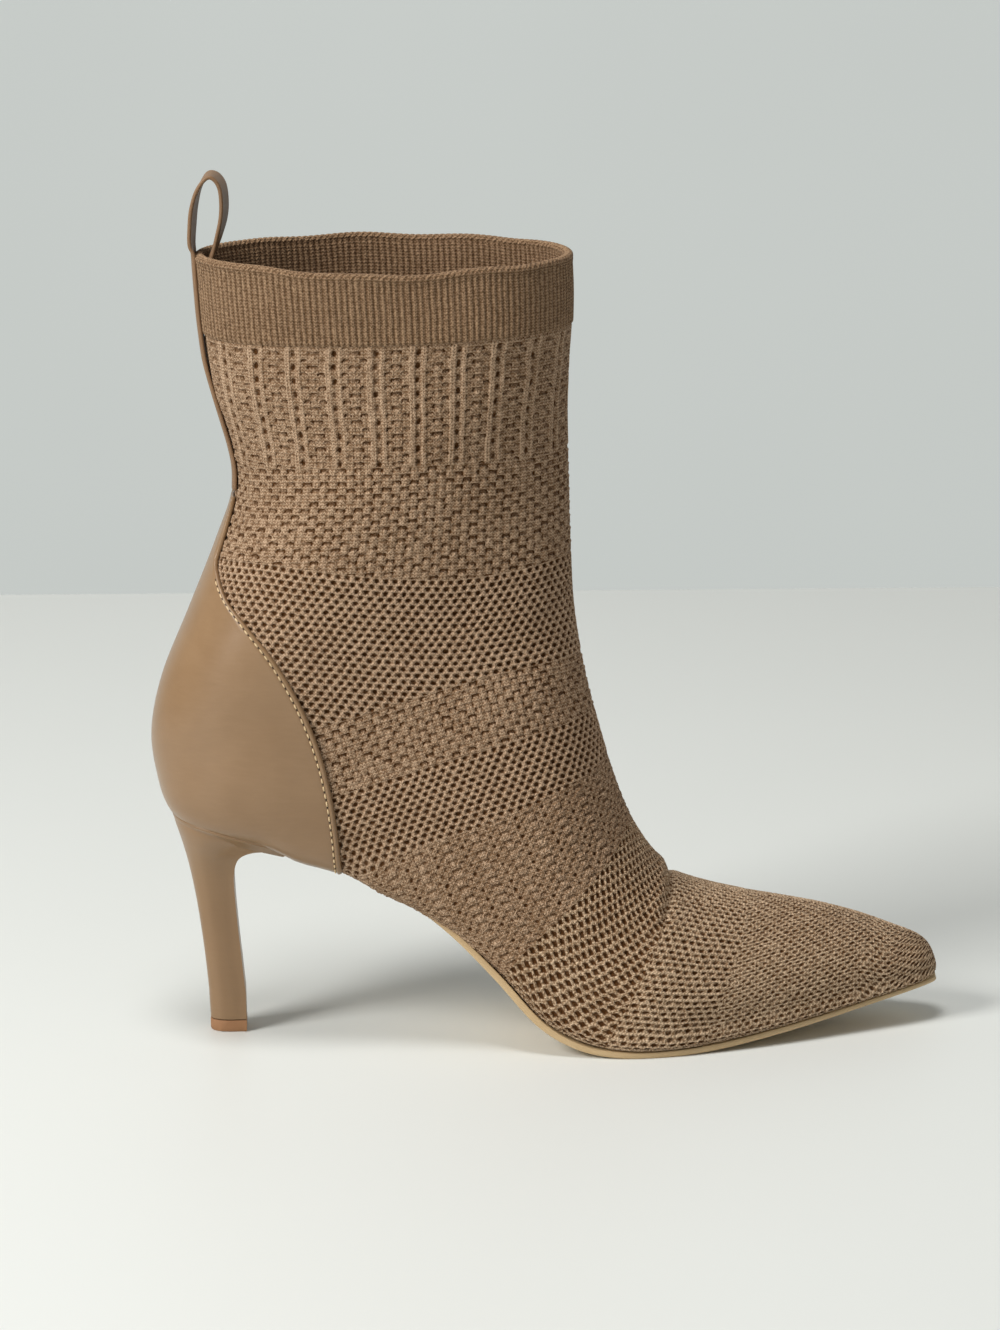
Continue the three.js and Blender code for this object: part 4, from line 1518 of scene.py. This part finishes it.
@dataclass
class Counter:
    """The leather back quarter with its turned edge and its seam.

    Attributes:
        gap: clearance over the knit in millimetres.
        leather: thickness.
        seam: x and z of the seam with the heel, as shares of the foot length and heel height.
        edge: x and z of the front edge, as shares of the foot length and leg height.
        last: the last.
        seam_inset: how far the stitches lie from the front edge, in millimetres.
        pitch: distance from stitch to stitch.
    """

    gap: float = 0.3
    leather: float = 1.0
    seam: Array = field(default_factory=lambda: np.array([
        [-0.12, 1.047], [-0.068, 1.029], [-0.02, 0.997], [0.02, 0.96],
        [0.056, 0.925], [0.081, 0.904], [0.12, 0.877], [0.16, 0.852],
    ]))
    edge: Array = field(default_factory=lambda: np.array([
        [0.1465, -0.07], [0.14, 0], [0.134, 0.06], [0.124, 0.127], [0.11, 0.19], [0.091, 0.252],
        [0.064, 0.317], [0.034, 0.369], [0.008, 0.411], [-0.003, 0.45], [-0.003, 0.475],
        [0.005, 0.51], [0.0085, 0.54], [0.009, 0.562], [0.0105, 0.578],
    ]))
    last: Last = field(default_factory=Last)
    seam_inset: float = 2.0
    pitch: float = 2.5

    # Distance from the front edge, and height as a share of the leather's.
    rolled_edge = np.array([
        [0.0, 0.0], [0.12, 0.66], [0.4, 1.06], [0.8, 1.3], [1.2, 1.28],
        [1.55, 1.08], [1.85, 0.76], [2.15, 0.94], [2.7, 1.04], [3.8, 1.0],
    ])

    def seam_height(self, x: Any) -> Array:
        """Height of the seam with the heel at places along the foot, in millimetres."""
        line = self.seam * [self.last.foot_length, self.last.heel_height]
        return np.interp(x, line[:, 0], line[:, 1])

    def low_edge(self, x: Any) -> Array:
        """Height of the leather's lower edge: the heel's seam, then the sole line."""
        line = self.last.ends(np.linspace(19, 10, 200))[0]
        under = smooth(x, 19, 25)
        sole = np.interp(x, line[:, 0], line[:, 1])
        return (1 - under) * (self.seam_height(x) + 0.15) + under * (sole + 0.6)

    def sides(self, levels: int) -> tuple[Array, Array]:
        """The front edge and the back line, level by level, as x and z in millimetres.

        Args:
            levels: number of points on each line.

        Returns:
            The points of the front edge and of the back line.
        """
        last = self.last
        scale = [last.foot_length, last.leg_height]
        knots = self.edge * scale + [0, last.heel_height]
        front = curve_through(knots, np.linspace(0, len(knots) - 1.2, 400))
        keep = front[:, 1] > self.low_edge(front[:, 0])
        front = evenly(front[keep], levels)
        rows = np.linspace(18, 27, 900)
        back = last.ends(rows)[0]
        start = np.argmax(back[:, 1] > self.seam_height(back[:, 0]))
        end = np.argmax(back[:, 1] > front[-1, 1])
        rear = evenly(back[start:end], levels)
        front[:, 0] = np.maximum(front[:, 0], rear[:, 0] + 0.6)
        return front, rear

    def surface(self, x: Array, z: Array, side: Array, offset: Array) -> Array:
        """Points over the knit at places seen from the side.

        Args:
            x: places along the foot.
            z: heights.
            side: 1 on the +Y side, -1 on the other one.
            offset: distances off the last.

        Returns:
            Points in millimetres.
        """
        row, angle = self.last.find(x, z)
        angle = np.where(side > 0, angle, -math.pi - angle)
        return lapped(self.last, self.last.off(row, angle, offset))

    def build(self, leather: bpy.types.Material, rows: StitchRow, needle: StitchRow) -> None:
        """Cuts, turns and sews the counter.

        Args:
            leather: its finish.
            rows: the maker of stitches.
            needle: the maker of the dark beads between the stitches, painted shade of the needle
                holes.
        """
        levels = 84
        front, rear = self.sides(levels)
        span = np.linalg.norm(front - rear, axis=1)[:, None]
        inset, height = self.rolled_edge.T
        share = 1 - inset[None, :] / np.maximum(span, 6.0)
        share = np.arccos(np.clip(1 - share, -1, 1)) / (math.pi / 2)
        rest = np.linspace(1, 0, 22)[1:]
        b = np.concatenate([share, share[:, -1:] * rest[None, :]], 1)
        flat = np.full(rest.size, self.leather)
        lift = self.gap + np.concatenate([height * self.leather + 0.02, flat])
        over = self.both(front, rear, b, np.broadcast_to(lift[None, :], b.shape))
        under = self.both(front, rear, b, np.full_like(b, self.gap + 0.02))
        piece = tube("counter_leather", np.concatenate([over, under[:, ::-1]], 1))
        seat(piece, "heel_counter", leather)
        self.sew(front, rear, rows, needle)

    def both(self, front: Array, rear: Array, b: Array, lift: Array) -> Array:
        """Both halves of a layer of the counter, from the near front edge round to the far one."""
        far, near = (self.sheet(front, rear, b, lift, side) for side in (1.0, -1.0))
        return np.concatenate([near, far[:, -2::-1]], 1)

    def sheet(self, front: Array, rear: Array, b: Array, lift: Array, side: float) -> Array:
        """One half of a layer from its front edge to the back line.

        Args:
            front: the front edge, level by level, as x and z.
            rear: the back line.
            b: each point's place from the back line, 0, to the front edge, 1.
            lift: distances off the last.
            side: 1 on the +Y side, -1 on the other one.

        Returns:
            Points in millimetres.
        """
        flat = rear[:, None] + (front - rear)[:, None] * (1 - np.cos(b * math.pi / 2))[..., None]
        level = np.linspace(0, 1, len(front))[:, None]
        drop = self.low_edge(flat[0, :, 0]) - flat[0, :, 1]
        z = flat[..., 1] + drop[None, :] * (1 - level) ** 6
        return self.surface(flat[..., 0], z, np.full(b.shape, side), lift)

    def sew(self, front: Array, rear: Array, rows: StitchRow, needle: StitchRow) -> None:
        """Sews the seam along the front edge on both sides.

        Args:
            front: the front edge, level by level, as x and z.
            rear: the back line.
            rows: the maker of stitches.
            needle: the maker of the dark beads between the stitches, painted shade of the needle
                holes.
        """
        span = np.linalg.norm(front - rear, axis=1)
        keep = span > 5
        pull = (1 - self.seam_inset / span[keep])[:, None]
        x, z = (rear[keep] + (front[keep] - rear[keep]) * pull).T
        made, holes = [], []
        for side in (-1.0, 1.0):
            signs, face = np.full(len(x), side), self.gap + self.leather
            over, above = (
                self.surface(x, z, signs, np.full(len(x), face + lift)) for lift in (0.02, 1.0)
            )
            up = above - over
            made.append(rows.sew(f"stitches_{side:+.0f}", over, up, self.pitch, 1.8, 0.6))
            # Dark beads sunk between the stitches: painted shade of the needle holes.
            sunk = over - up * 0.12
            holes.append(needle.sew(f"holes_{side:+.0f}", sunk, up, self.pitch, 0.75, 0.5, 0.5))
        seat(joined(made, "counter_stitches"), "heel_counter")
        seat(joined(holes, "counter_needle_hole_shade"), "heel_counter")


@dataclass
class Heel:
    """The wrapped stiletto heel, its seam ridge and its top piece.

    Attributes:
        counter: the counter, whose seam the heel meets.
        tip_depth: depth of the top piece in millimetres.
        tip_width: width of the top piece.
        tip_thickness: its thickness.
        ease: size of the top piece's face on the floor.
    """

    counter: Counter
    tip_depth: float = 11.4
    tip_width: float = 10.4
    tip_thickness: float = 4.0
    ease: float = 0.94

    seam_points = 26
    ridge_radius = 0.32

    # Back and its height, breast and its height, half width: shares of the seat's sizes.
    levels = np.array([
        [0.272, 0.19, 0.57, 0.19, 0.236],
        [0.246, 0.34, 0.542, 0.34, 0.236],
        [0.214, 0.486, 0.516, 0.486, 0.25],
        [0.175, 0.63, 0.495, 0.63, 0.293],
        [0.131, 0.757, 0.49, 0.745, 0.38],
        [0.094, 0.843, 0.525, 0.825, 0.52],
        [0.058, 0.914, 0.622, 0.868, 0.68],
        [0.025, 0.972, 0.76, 0.884, 0.8],
        [0.008, 1.006, 0.9, 0.889, 0.86],
    ])

    def outline(self) -> Array:
        """The seat's outline along the seam, from the back round the +Y side and back.

        Returns:
            The outline's points in millimetres.
        """
        counter, last = self.counter, self.counter.last
        offset = counter.gap + counter.leather
        back = np.interp(0, *self.heights(last, offset))
        count = self.seam_points
        row = 17 + (back - 17) * np.cos(np.linspace(0, math.pi / 2, count))
        low, high = np.full(count, BACK), np.zeros(count)
        for _ in range(30):
            middle = (low + high) / 2
            at = last.off(row, middle, offset)
            under = at[:, 2] < counter.seam_height(at[:, 0])
            low, high = np.where(under, middle, low), np.where(under, high, middle)
        right = last.off(row, (low + high) / 2, offset)
        right[0, 1] = 0.0
        front = right[-1]
        across = np.array([0.93, 0.8, 0.5, 0.2, -0.2, -0.5, -0.8, -0.93])
        breast = np.column_stack([
            np.full(across.size, front[0] + 0.1), front[1] * across, np.full(across.size, front[2]),
        ])
        left = right[:0:-1] * [1, -1, 1]
        return np.concatenate([right, breast, left])

    def heights(self, last: Last, offset: float) -> tuple[Array, Array]:
        """How far the back line stands above the seam, and its rows."""
        rows = np.linspace(18, 22, 200)
        at = last.off(rows, BACK, offset)
        return at[:, 2] - self.counter.seam_height(at[:, 0]), rows

    def foot(self, z: float, size: float = 1.0) -> Array:
        """The outline of the heel's foot at a height.

        Args:
            z: the height in millimetres.
            size: scale of the outline.

        Returns:
            The outline's points in millimetres.
        """
        points = self.outline()
        back, front, half = points[0, 0], points[:, 0].max(), points[:, 1].max()
        return np.stack([
            size * self.tip_depth * ((points[:, 0] - back) / (front - back) - 0.5),
            size * self.tip_width / 2 * points[:, 1] / half,
            np.full(len(points), z),
        ], -1)

    def build(self, leather: bpy.types.Material, rubber: bpy.types.Material) -> None:
        """Makes the heel, the ridge along its seam and the top piece.

        Args:
            leather: finish of the heel.
            rubber: finish of the top piece.
        """
        points = self.outline()
        back, front = points[0, 0], points[:, 0].max()
        along = (points[:, 0] - back) / (front - back)
        height = self.counter.last.heel_height
        rings = [self.foot(self.tip_thickness + 0.05), self.foot(self.tip_thickness + 0.4)]
        for level in curve_through(self.levels, np.linspace(0, len(self.levels) - 1, 49)):
            rings.append(np.stack([
                back + (front - back) * (level[0] + (level[2] - level[0]) * along),
                points[:, 1] * level[4],
                height * (level[1] + (level[3] - level[1]) * along),
            ], -1))
        rim = points - [0, 0, 0.15]
        middle = rim.mean(0)
        rings += [rim - [0, 0, 0.5], rim, middle + (rim - middle) * 0.955 + [0, 0, -0.2]]
        rings += [middle + (rim - middle) * 0.8 - [0, 0, 3.5]]
        heel = tube("heel_leather_wrap", np.stack(rings), "fan")
        heel.data.set_sharp_from_angle(angle=math.radians(50))
        seat(heel, "heel", leather)
        self.ridge(points, leather)
        self.tip(rubber)

    def ridge(self, points: Array, leather: bpy.types.Material) -> None:
        """A thin rolled ridge where the counter meets the heel.

        Args:
            points: the seat's outline.
            leather: the ridge's material.
        """
        line = np.concatenate([points[1 - self.seam_points:], points[:self.seam_points]])
        middle = line.mean(0)
        out = (line - middle) * [1, 1, 0]
        out /= np.linalg.norm(out, axis=1, keepdims=True)
        turn = np.linspace(0, TURN, 9)[:-1, None]
        rings = np.stack([
            p + self.ridge_radius * (np.cos(turn) * o + np.sin(turn) * [0, 0, 1]) - 0.1 * o
            for p, o in zip(line, out)
        ])
        piece = tube("heel_seam_ridge", rings, "fan")
        seat(piece, "heel", leather)

    def tip(self, rubber: bpy.types.Material) -> None:
        """The top piece under the heel.

        Args:
            rubber: its material.
        """
        levels = [
            (0.0, self.ease), (0.15, 0.975), (0.5, 1.0), (1.6, 1.01), (3.2, 1.01), (3.7, 0.99),
        ]
        rings = np.stack([self.foot(z, size) for z, size in levels])
        piece = tube("heel_top_piece", rings, "fan")
        piece.data.set_sharp_from_angle(angle=math.radians(40))
        seat(piece, "heel_tip", rubber)


@dataclass
class Sole:
    """The outsole with its rounded edge, and the insole inside the upper.

    Attributes:
        last: the last.
        gap: clearance in millimetres.
        edge: thickness under the forefoot.
        skived: thickness at the heel.
        shoulder: height of the edge's top under the bulging knit, from the sole line.
        breast: where the outsole ends at the heel.
        insole: thickness of the insole.
    """

    last: Last
    gap: float = 0.3
    edge: float = 2.8
    skived: float = 1.3
    shoulder: float = -0.95
    breast: float = 18.6
    insole: float = 2.4

    crown = (0.93, 0.8, 0.5, 0.0)

    def build(self, leather: bpy.types.Material, lining: bpy.types.Material) -> None:
        """Makes both soles.

        Args:
            leather: finish of the outsole.
            lining: finish of the insole.
        """
        last = self.last
        rows = np.concatenate([np.linspace(0, 3, 28), np.linspace(3.1, 18, 150)])
        s = last.row_at(rows)
        swing, tread = s[:, Part.SWING] * last.half_ball, s[:, Part.TREAD] * last.half_ball
        tread -= 2.5 * smooth(rows, 12.5, 15.5) + 0.4 * (1 - smooth(rows, 1, 5))
        skive = smooth(rows, 10.6, 14.5)
        thick = self.edge + (self.skived - self.edge) * skive - 0.6 * (1 - smooth(rows, 2, 8))
        full = smooth(s[:, Part.SOLE_X] * last.foot_length, self.breast - 4, 36)
        low = -self.gap - 0.1 - (thick - 0.1) * full
        top = self.shoulder + (0.3 - self.shoulder) * smooth(rows, 10.6, 13.4)
        top -= 0.65 * smooth(rows, 14.5, 16.5)
        top = np.maximum(top, low + 0.2)
        turn = np.linspace(0, math.pi / 2, 5)
        rings = []
        for i, row in enumerate(rows):
            if last.sole_line(row, 0)[0] < self.breast:
                continue
            ease = min(0.4 * (top[i] - low[i]), 0.8)
            half = tread[i]
            ring = [(0.0, low[i])]
            ring += [
                (half - ease + ease * math.sin(a), low[i] + ease - ease * math.cos(a)) for a in turn
            ]
            ring += [(half, top[i] - ease * 0.3), (half - 0.1, top[i] - ease * 0.1)]
            ring += [(half - 0.35, top[i])]
            ring += [
                (half * share, min(top[i] + 4 * (1 - share), -self.gap)) for share in self.crown
            ]
            ring += [(-y, z) for y, z in reversed(ring[1:-1])]
            rings.append(self.ring(row, swing[i], ring))
        rings = np.stack(rings)
        rings[..., 2] = np.maximum(rings[..., 2], 0.0)
        nose = rings[0].mean(0) + [0.1, 0, 0]
        rings = np.concatenate([(rings[0] - rings[0].mean(0))[None] * 0.55 + nose, rings])
        piece = tube("outsole_leather", rings, "fan")
        seat(piece, "outsole", leather)
        self.footbed(lining)

    def footbed(self, lining: bpy.types.Material) -> None:
        """The insole on the knit's bottom, up to its own height.

        Args:
            lining: its material.
        """
        last = self.last
        rows = np.linspace(2.7, 21.4, 110)
        s = last.row_at(rows)
        shares = np.array([0, 0.3, 0.6, 0.85, 0.95, 1.0])
        rings = []
        for i, row in enumerate(rows):
            sole, top = last.ends(row)
            tall = float(np.linalg.norm(top - sole))
            full, power = s[i, Part.HALF] * last.half_ball - 2.4, s[i, Part.SOLE_POWER]
            up = np.clip(1 - self.insole / max(tall * s[i, Part.WIDE], 1.0), 0, 1)
            half = max(full * (1 - up ** power) ** (1 / power) - 0.4, 0.6)
            ring = [(half * 0.93 * t, 2.35) for t in shares]
            ring += [(half * t, 2.3 + self.insole) for t in shares[::-1]]
            ring += [(-y, z) for y, z in ring[::-1]]
            rings.append(self.ring(row, s[i, Part.SWING] * last.half_ball, ring))
        piece = tube("insole_board", np.stack(rings), "fan")
        seat(piece, "insole", lining)

    def ring(self, row: float, swing: float, profile: Sequence[tuple[float, float]]) -> Array:
        """A section square to the sole line.

        Args:
            row: the last's row.
            swing: how far its middle lies from the boot's middle plane.
            profile: places across the section and heights off the sole line.

        Returns:
            The section's points in millimetres.
        """
        across, up = np.array(profile).T
        base = self.last.sole_line(row, up)
        return np.column_stack([base[:, 0], swing + across, base[:, 1]])


@dataclass
class PullStrap:
    """The leather strip up the back seam and its loop over the collar.

    Attributes:
        last: the last.
        width: width in millimetres.
        thickness: thickness.
        loop_height: height of the loop above the rim.
        loop_depth: its depth.
        tail: length of its end inside the collar.
    """

    last: Last
    width: float = 11.0
    thickness: float = 1.2
    loop_height: float = 26.0
    loop_depth: float = 12.0
    tail: float = 12.0

    # Place across, place up, turn in degrees.
    loop = np.array([
        [-0.03, 0.12, -6], [0, 0.31, -8], [0.05, 0.54, -8], [0.18, 0.76, -5], [0.4, 0.91, 0],
        [0.61, 0.9, 5], [0.77, 0.79, 8], [0.82, 0.6, 9], [0.79, 0.41, 9], [0.68, 0.21, 7],
        [0.53, 0.04, 4], [0.42, -0.115, 0],
    ])

    def path(self) -> Array:
        """The strap's middle line: x, z, turn in degrees and the hollow under its edges.

        Returns:
            The line, one row for each place along the strap.
        """
        stand = 0.3 + self.thickness / 2
        rows = np.arange(26, 31.01, 0.5)
        cuff = np.where(rows > 28.4, 0.6, 0.0)
        middle = self.last.off(rows, BACK, stand + cuff)
        back, edge = self.last.off(rows, BACK, 0.0), self.last.off(rows, BACK + 0.25, 0.0)
        sag = (edge[:, 0] - back[:, 0]) / edge[:, 1] ** 2 * (self.width / 2) ** 2
        line = [[p[0], p[2], 0.0, h] for p, h in zip(middle, sag)]
        rim = line[-1]
        for across, up, turn in self.loop:
            free = float(smooth(up, 0, 0.2))
            x, z = rim[0] + across * self.loop_depth, rim[1] + up * self.loop_height
            line.append([x, z, turn, (1 - free) * rim[3]])
        end = line[-1]
        line.append([end[0] + 0.2, end[1] - self.tail / 2, 0.0, rim[3]])
        line.append([end[0] + 0.7, end[1] - self.tail, 0.0, rim[3]])
        knots = np.array(line)
        return curve_through(knots, np.linspace(0, len(knots) - 1, 190))

    def build(self, leather: bpy.types.Material) -> None:
        """Sweeps the strap along its line.

        Args:
            leather: its finish.
        """
        path = self.path()
        half, thick = self.width / 2, self.thickness / 2
        turn = np.linspace(-math.pi / 2, math.pi / 2, 7)
        right = [(half - 0.45 + 0.45 * math.cos(a), thick * math.sin(a)) for a in turn]
        across = [(y, thick * (1.0 - 0.12 * math.cos(y / half * 1.4)))
                  for y in np.linspace(half - 0.9, -half + 0.9, 9)]
        profile = right + across + [(-y, z) for y, z in right[::-1]]
        profile += [(y, -z) for y, z in across[::-1]]
        along = np.gradient(path[:, :2], axis=0)
        along /= np.linalg.norm(along, axis=1, keepdims=True)
        rings = []
        for (x, z, turned, sag), (ax, az) in zip(path, along):
            direction = Vector((ax, 0, az))
            spin = Matrix.Rotation(math.radians(turned), 3, direction)
            width = spin @ Vector((0, 1, 0))
            normal = direction.cross(width)
            rings.append([
                tuple(Vector((x + sag * (y / half) ** 2, 0, z)) + width * y + normal * h)
                for y, h in profile
            ])
        piece = tube("pull_strap_leather", np.array(rings), "fan")
        seat(piece, "pull_strap", leather)


# The room.


class Studio:
    """Floor, wall, lights and the camera at the photograph's angle."""

    target = Vector((0.085707, 0.0, 0.116995))
    distance = 1.6
    azimuth = -2.0
    elevation = 13.6
    lens = 139.1
    lit = (0.08, 0, 0.08)
    edge = 0.62
    wall = 2.6
    paint_size = 3000.0

    def build(self) -> None:
        """Lays the floor, sets up the wall, hangs the lights and aims the camera."""
        size = self.paint_size
        y, far = self.edge / MM, self.wall / MM
        flat = np.array([[-size, -size, 0], [size, -size, 0], [size, y, 0], [-size, y, 0]])
        floor = solid_mesh("floor", flat, [[0, 1, 2, 3]])
        floor.data.materials.append(PaintFinish((231, 235, 233), 0.5).material("floor_paint"))
        foot = -size / 2
        upright = np.array([
            [-size, far, foot], [size, far, foot], [size, far, size], [-size, far, size],
        ])
        back = solid_mesh("wall", upright, [[3, 2, 1, 0]])
        # The wall glows with painted light in place of the lamps' light on it.
        back.data.materials.append(PaintFinish((207, 213, 211), 0.9, 0.54).material("wall_paint"))
        world = bpy.data.worlds.new("room")
        bpy.context.scene.world = world
        world.use_nodes = True
        tree = Tree(world.node_tree)
        values = {"Color": (1.0, 0.97, 0.92, 1.0), "Strength": 0.2}
        sky = tree.wire("ShaderNodeBackground", None, values)
        tree.node("ShaderNodeOutputWorld", None, {"Surface": sky})
        self.light("window", (-1.15, -0.75, 1.15), 0.6, 22.0, (1.0, 0.975, 0.94))
        self.light("ceiling", (-0.1, -0.3, 1.8), 0.5, 13.5, (1.0, 0.975, 0.95))
        self.light("panel", (-1.3, -1.0, 0.5), 0.3, 3.2, (1.0, 0.98, 0.95))
        self.aim()
        view = bpy.context.scene.view_settings
        view.view_transform, view.look = "Standard", "None"

    def light(
        self, name: str, place: tuple[float, float, float], size: float, power: float,
        colour: tuple[float, float, float],
    ) -> None:
        """Hangs a square soft light that faces the boot.

        Args:
            name: the light's name.
            place: where it hangs, in metres.
            size: its side in metres.
            power: its power in watts.
            colour: its colour.
        """
        data = bpy.data.lights.new(name, "AREA")
        data.shape, data.size, data.energy, data.color = "SQUARE", size, power, colour
        lamp = bpy.data.objects.new(name, data)
        lamp.location = place
        facing = Vector(self.lit) - Vector(place)
        lamp.rotation_euler = facing.to_track_quat("-Z", "Y").to_euler()
        bpy.context.scene.collection.objects.link(lamp)

    def aim(self) -> None:
        """Sets up the camera."""
        a, e = math.radians(self.azimuth), math.radians(self.elevation)
        back = Vector((math.sin(a) * math.cos(e), -math.cos(a) * math.cos(e), math.sin(e)))
        data = bpy.data.cameras.new("camera")
        data.lens, data.sensor_width, data.clip_start, data.clip_end = self.lens, 36.0, 0.05, 20.0
        camera = bpy.data.objects.new("camera", data)
        camera.location = self.target + back * self.distance
        camera.rotation_euler = (-back).to_track_quat("-Z", "Y").to_euler()
        bpy.context.scene.collection.objects.link(camera)
        bpy.context.scene.camera = camera


def main() -> None:
    """Builds the boot piece by piece, then the room, and notes the sizes."""
    logging.basicConfig(level=logging.INFO, format="%(message)s")
    last = Last()
    Studio().build()
    KnitUpper().build(last)
    satin = LeatherFinish((136, 107, 76), (158, 128, 96), 0.34, 0.22)
    wrap = LeatherFinish((138, 109, 78), (153, 123, 90), 0.36, 0.12)
    strip = LeatherFinish((126, 96, 68), (152, 122, 92), 0.5, 0.0)
    veg = LeatherFinish((196, 168, 126), (212, 186, 146), 0.5, 0.05, rear=(138, 110, 82))
    board = LeatherFinish((150, 124, 98), (164, 138, 112), 0.7, 0.0, 0.03)
    rubber = LeatherFinish((152, 110, 76), (174, 130, 92), 0.6, 0.0, 0.03)
    counter = Counter()
    thread = ThreadFinish((196, 168, 128), (232, 208, 166)).material("seam_thread")
    # The needle holes' finish is dark: painted shade in the holes.
    needle = ThreadFinish((46, 30, 18), (62, 42, 26)).material("needle_hole_shade")
    counter.build(satin.material("counter_leather"), StitchRow(thread), StitchRow(needle))
    Heel(counter).build(wrap.material("heel_leather"), rubber.material("heel_rubber"))
    Sole(last).build(veg.material("outsole_leather"), board.material("insole_leather"))
    PullStrap(last).build(strip.material("strap_leather"))


if __name__ == "__main__":
    main()
